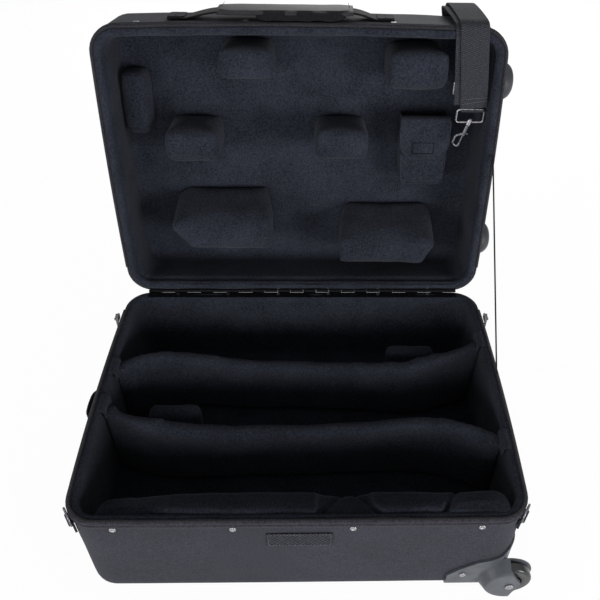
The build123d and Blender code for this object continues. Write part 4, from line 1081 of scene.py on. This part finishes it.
def outerPocket():
    bag = {**pad, "pressure": 1.2, "tension": 14.0, "voxel": 0.0055, "fill": 0.25, "shrink": 0.0012,
           "nap": 0.0016, "napSize": 0.09}
    softPad("pocketBag", ["outer_pocket"], "lid", {**bag, "seed": 31.1}, None, "oxfordNylonCloth")
    r, x0, x1, y0, y1 = (pocket[key] for key in ("corner", "x0", "x1", "y0", "y1"))
    middle, edge, turns = pocket["middleY"], [], 8
    for cx, cy, start in ((x1 - r, y1 - r, 0), (x0 + r, y1 - r, 90), (x0 + r, y0 + r, 180),
                          (x1 - r, y0 + r, 270)):
        edge += [Vector((cx + r * cos(a), cy + r * sin(a), 0))
                 for a in (radians(start + 90 * n / turns) for n in range(turns + 1))]
    for name, grow, z in pocket["pipes"]:
        ring = [p + Vector(((p.x > 0) - (p.x < 0), (p.y > middle) - (p.y < middle), 0)) * grow
                + Vector((0, 0, z)) for p in edge]
        piping(name, evenly(ring + [ring[0]], 0.004)[:-1], pocket["pipeRadius"], "lid", "boundPiping",
               True, True)
    ends = [Vector((x, pocket["zipY"], pocket["zipZ"]))
            for x in (x0 + pocket["zipInset"], x1 - pocket["zipInset"])]
    webbing("pocketZipTape", evenly(ends, 0.004), pocket["zipWidth"], pocket["zipThickness"], (0, 1, 0),
            "lid", "smoothWebbing", True)
    teeth = [p + Vector((0, 0, pocket["teethUp"])) for p in ends]
    stampRow("pocketZipTeeth", toothShape(0.0015, 0.0042, 0.0014), teeth, 0.0028, (0, 0, 1), "lid",
             "zipperCoil", True)
    for n, side in enumerate((-1, 1)):
        seam = [p + Vector((0, side * pocket["threadOut"], pocket["threadUp"])) for p in ends]
        stampRow(f"pocketZipStitches{n + 1}", stitchShape(), seam, 0.0042, (0, 0, 1), "lid", "paleThread",
                 True)


outerPocket()
print("stay and outer pocket sewn on")

# angles in degrees: pitch down, yaw to the right, roll; the lens is in millimetres on a 36 mm sensor
view = {"place": (0.02046, -0.59026, 0.87693), "pitch": 41.9, "yaw": 1.874, "roll": 1.281, "lens": 40.3,
        "sensor": 36.0, "shiftX": -0.0543, "shiftY": -0.0138}


def camera():
    pitch, yaw, roll = (radians(view[key]) for key in ("pitch", "yaw", "roll"))
    forward = Vector((sin(yaw) * cos(pitch), cos(yaw) * cos(pitch), -sin(pitch)))
    right = Vector((cos(yaw), -sin(yaw), 0))
    up = right.cross(forward)
    across = right * cos(roll) + up * sin(roll)
    above = up * cos(roll) - right * sin(roll)
    data = bpy.data.cameras.new("camera")
    data.lens, data.sensor_width = view["lens"], view["sensor"]
    data.shift_x, data.shift_y = view["shiftX"], view["shiftY"]
    holder = bpy.data.objects.new("camera", data)
    turn = Matrix((across, above, -forward)).transposed().to_4x4()
    holder.matrix_world = Matrix.Translation(view["place"]) @ turn
    scene.collection.objects.link(holder)
    scene.camera = holder


# round soft boxes: each one's place, what it faces, its width in metres and its power in watts
lamps = {"leftLight": ((-1.9, -1.5, 0.50), (0, 0.1, 0.3), 1.0, 16.0),
         "rightLight": ((1.9, -1.5, 0.45), (0, 0.1, 0.3), 1.0, 25.0),
         "frontLight": ((0.0, -2.1, 0.70), (0, 0.1, 0.25), 1.2, 10.0),
         "backLight": ((0.3, 2.3, 1.1), (0, 0.1, 0.25), 1.2, 16.0)}


def lights():
    for name, (place, aim, size, power) in lamps.items():
        data = bpy.data.lights.new(name, "AREA")
        data.shape, data.size, data.energy = "DISK", size, power
        lamp = bpy.data.objects.new(name, data)
        lamp.location = place
        lamp.rotation_mode = "QUATERNION"
        lamp.rotation_quaternion = (Vector(aim) - Vector(place)).to_track_quat("-Z", "Y")
        scene.collection.objects.link(lamp)


# glow is the floor's own white to the eye, ownShare how much of what is seen is that; the rest is lit and
# keeps a soft shadow. dim is how strongly the room lights
room = {"halfWidth": 6.0, "down": 0.0005, "ownShare": 0.9, "glow": 1.06, "dim": 0.12}


# white paper under the case
def paleFloor():
    tree, shader, _ = startMaterial("whitePaper", 0.9, {"Base Color": linear("#f4f4f4")})
    rays = addNode(tree, "LightPath")
    seen = addNode(tree, "Math.MAXIMUM", links={0: rays.outputs["Is Camera Ray"],
                                                1: rays.outputs["Is Glossy Ray"]})
    share = addNode(tree, "Math.MULTIPLY", {1: room["ownShare"]}, {0: seen})
    white = addNode(tree, "Emission", {"Strength": room["glow"]})
    mixed = addNode(tree, "MixShader", links={0: share, 1: shader, 2: white})
    output = [n for n in tree.nodes if n.type == "OUTPUT_MATERIAL"][0]
    tree.links.new(mixed.outputs[0], output.inputs["Surface"])
    bm = bmesh.new()
    bmesh.ops.create_grid(bm, x_segments=2, y_segments=2, size=room["halfWidth"])
    bmesh.ops.translate(bm, vec=(0, 0, -room["down"]), verts=bm.verts)
    floor = newObject("floor", bm)
    floor.data.materials.append(materials["whitePaper"])


# a white room to the eye, a shaded one in reflections, and a dim one as a light
def whiteRoom():
    world = bpy.data.worlds.new("room")
    world.use_nodes = True
    tree = world.node_tree
    tree.nodes.clear()
    rays, place = addNode(tree, "LightPath"), addNode(tree, "TexCoord")
    way = addNode(tree, "SeparateXYZ", links={0: place.outputs["Generated"]})
    sky = addNode(tree, "MapRange", {1: -0.1, 2: 0.8, 3: room["dim"], 4: 1.0}, {0: way.outputs[2]})
    mirrored = addNode(tree, "Math.MULTIPLY", links={0: sky, 1: rays.outputs["Is Glossy Ray"]})
    seen = addNode(tree, "Math.MAXIMUM", links={0: rays.outputs["Is Camera Ray"], 1: mirrored})
    strength = addNode(tree, "Math.MAXIMUM", {1: room["dim"]}, {0: seen})
    glow = addNode(tree, "Background", {"Color": (1, 1, 1, 1)}, {"Strength": strength})
    addNode(tree, "OutputWorld", links={"Surface": glow})
    scene.world = world


camera()
lights()
paleFloor()
whiteRoom()
scene.view_settings.view_transform = "Standard"
print("camera and lights set")
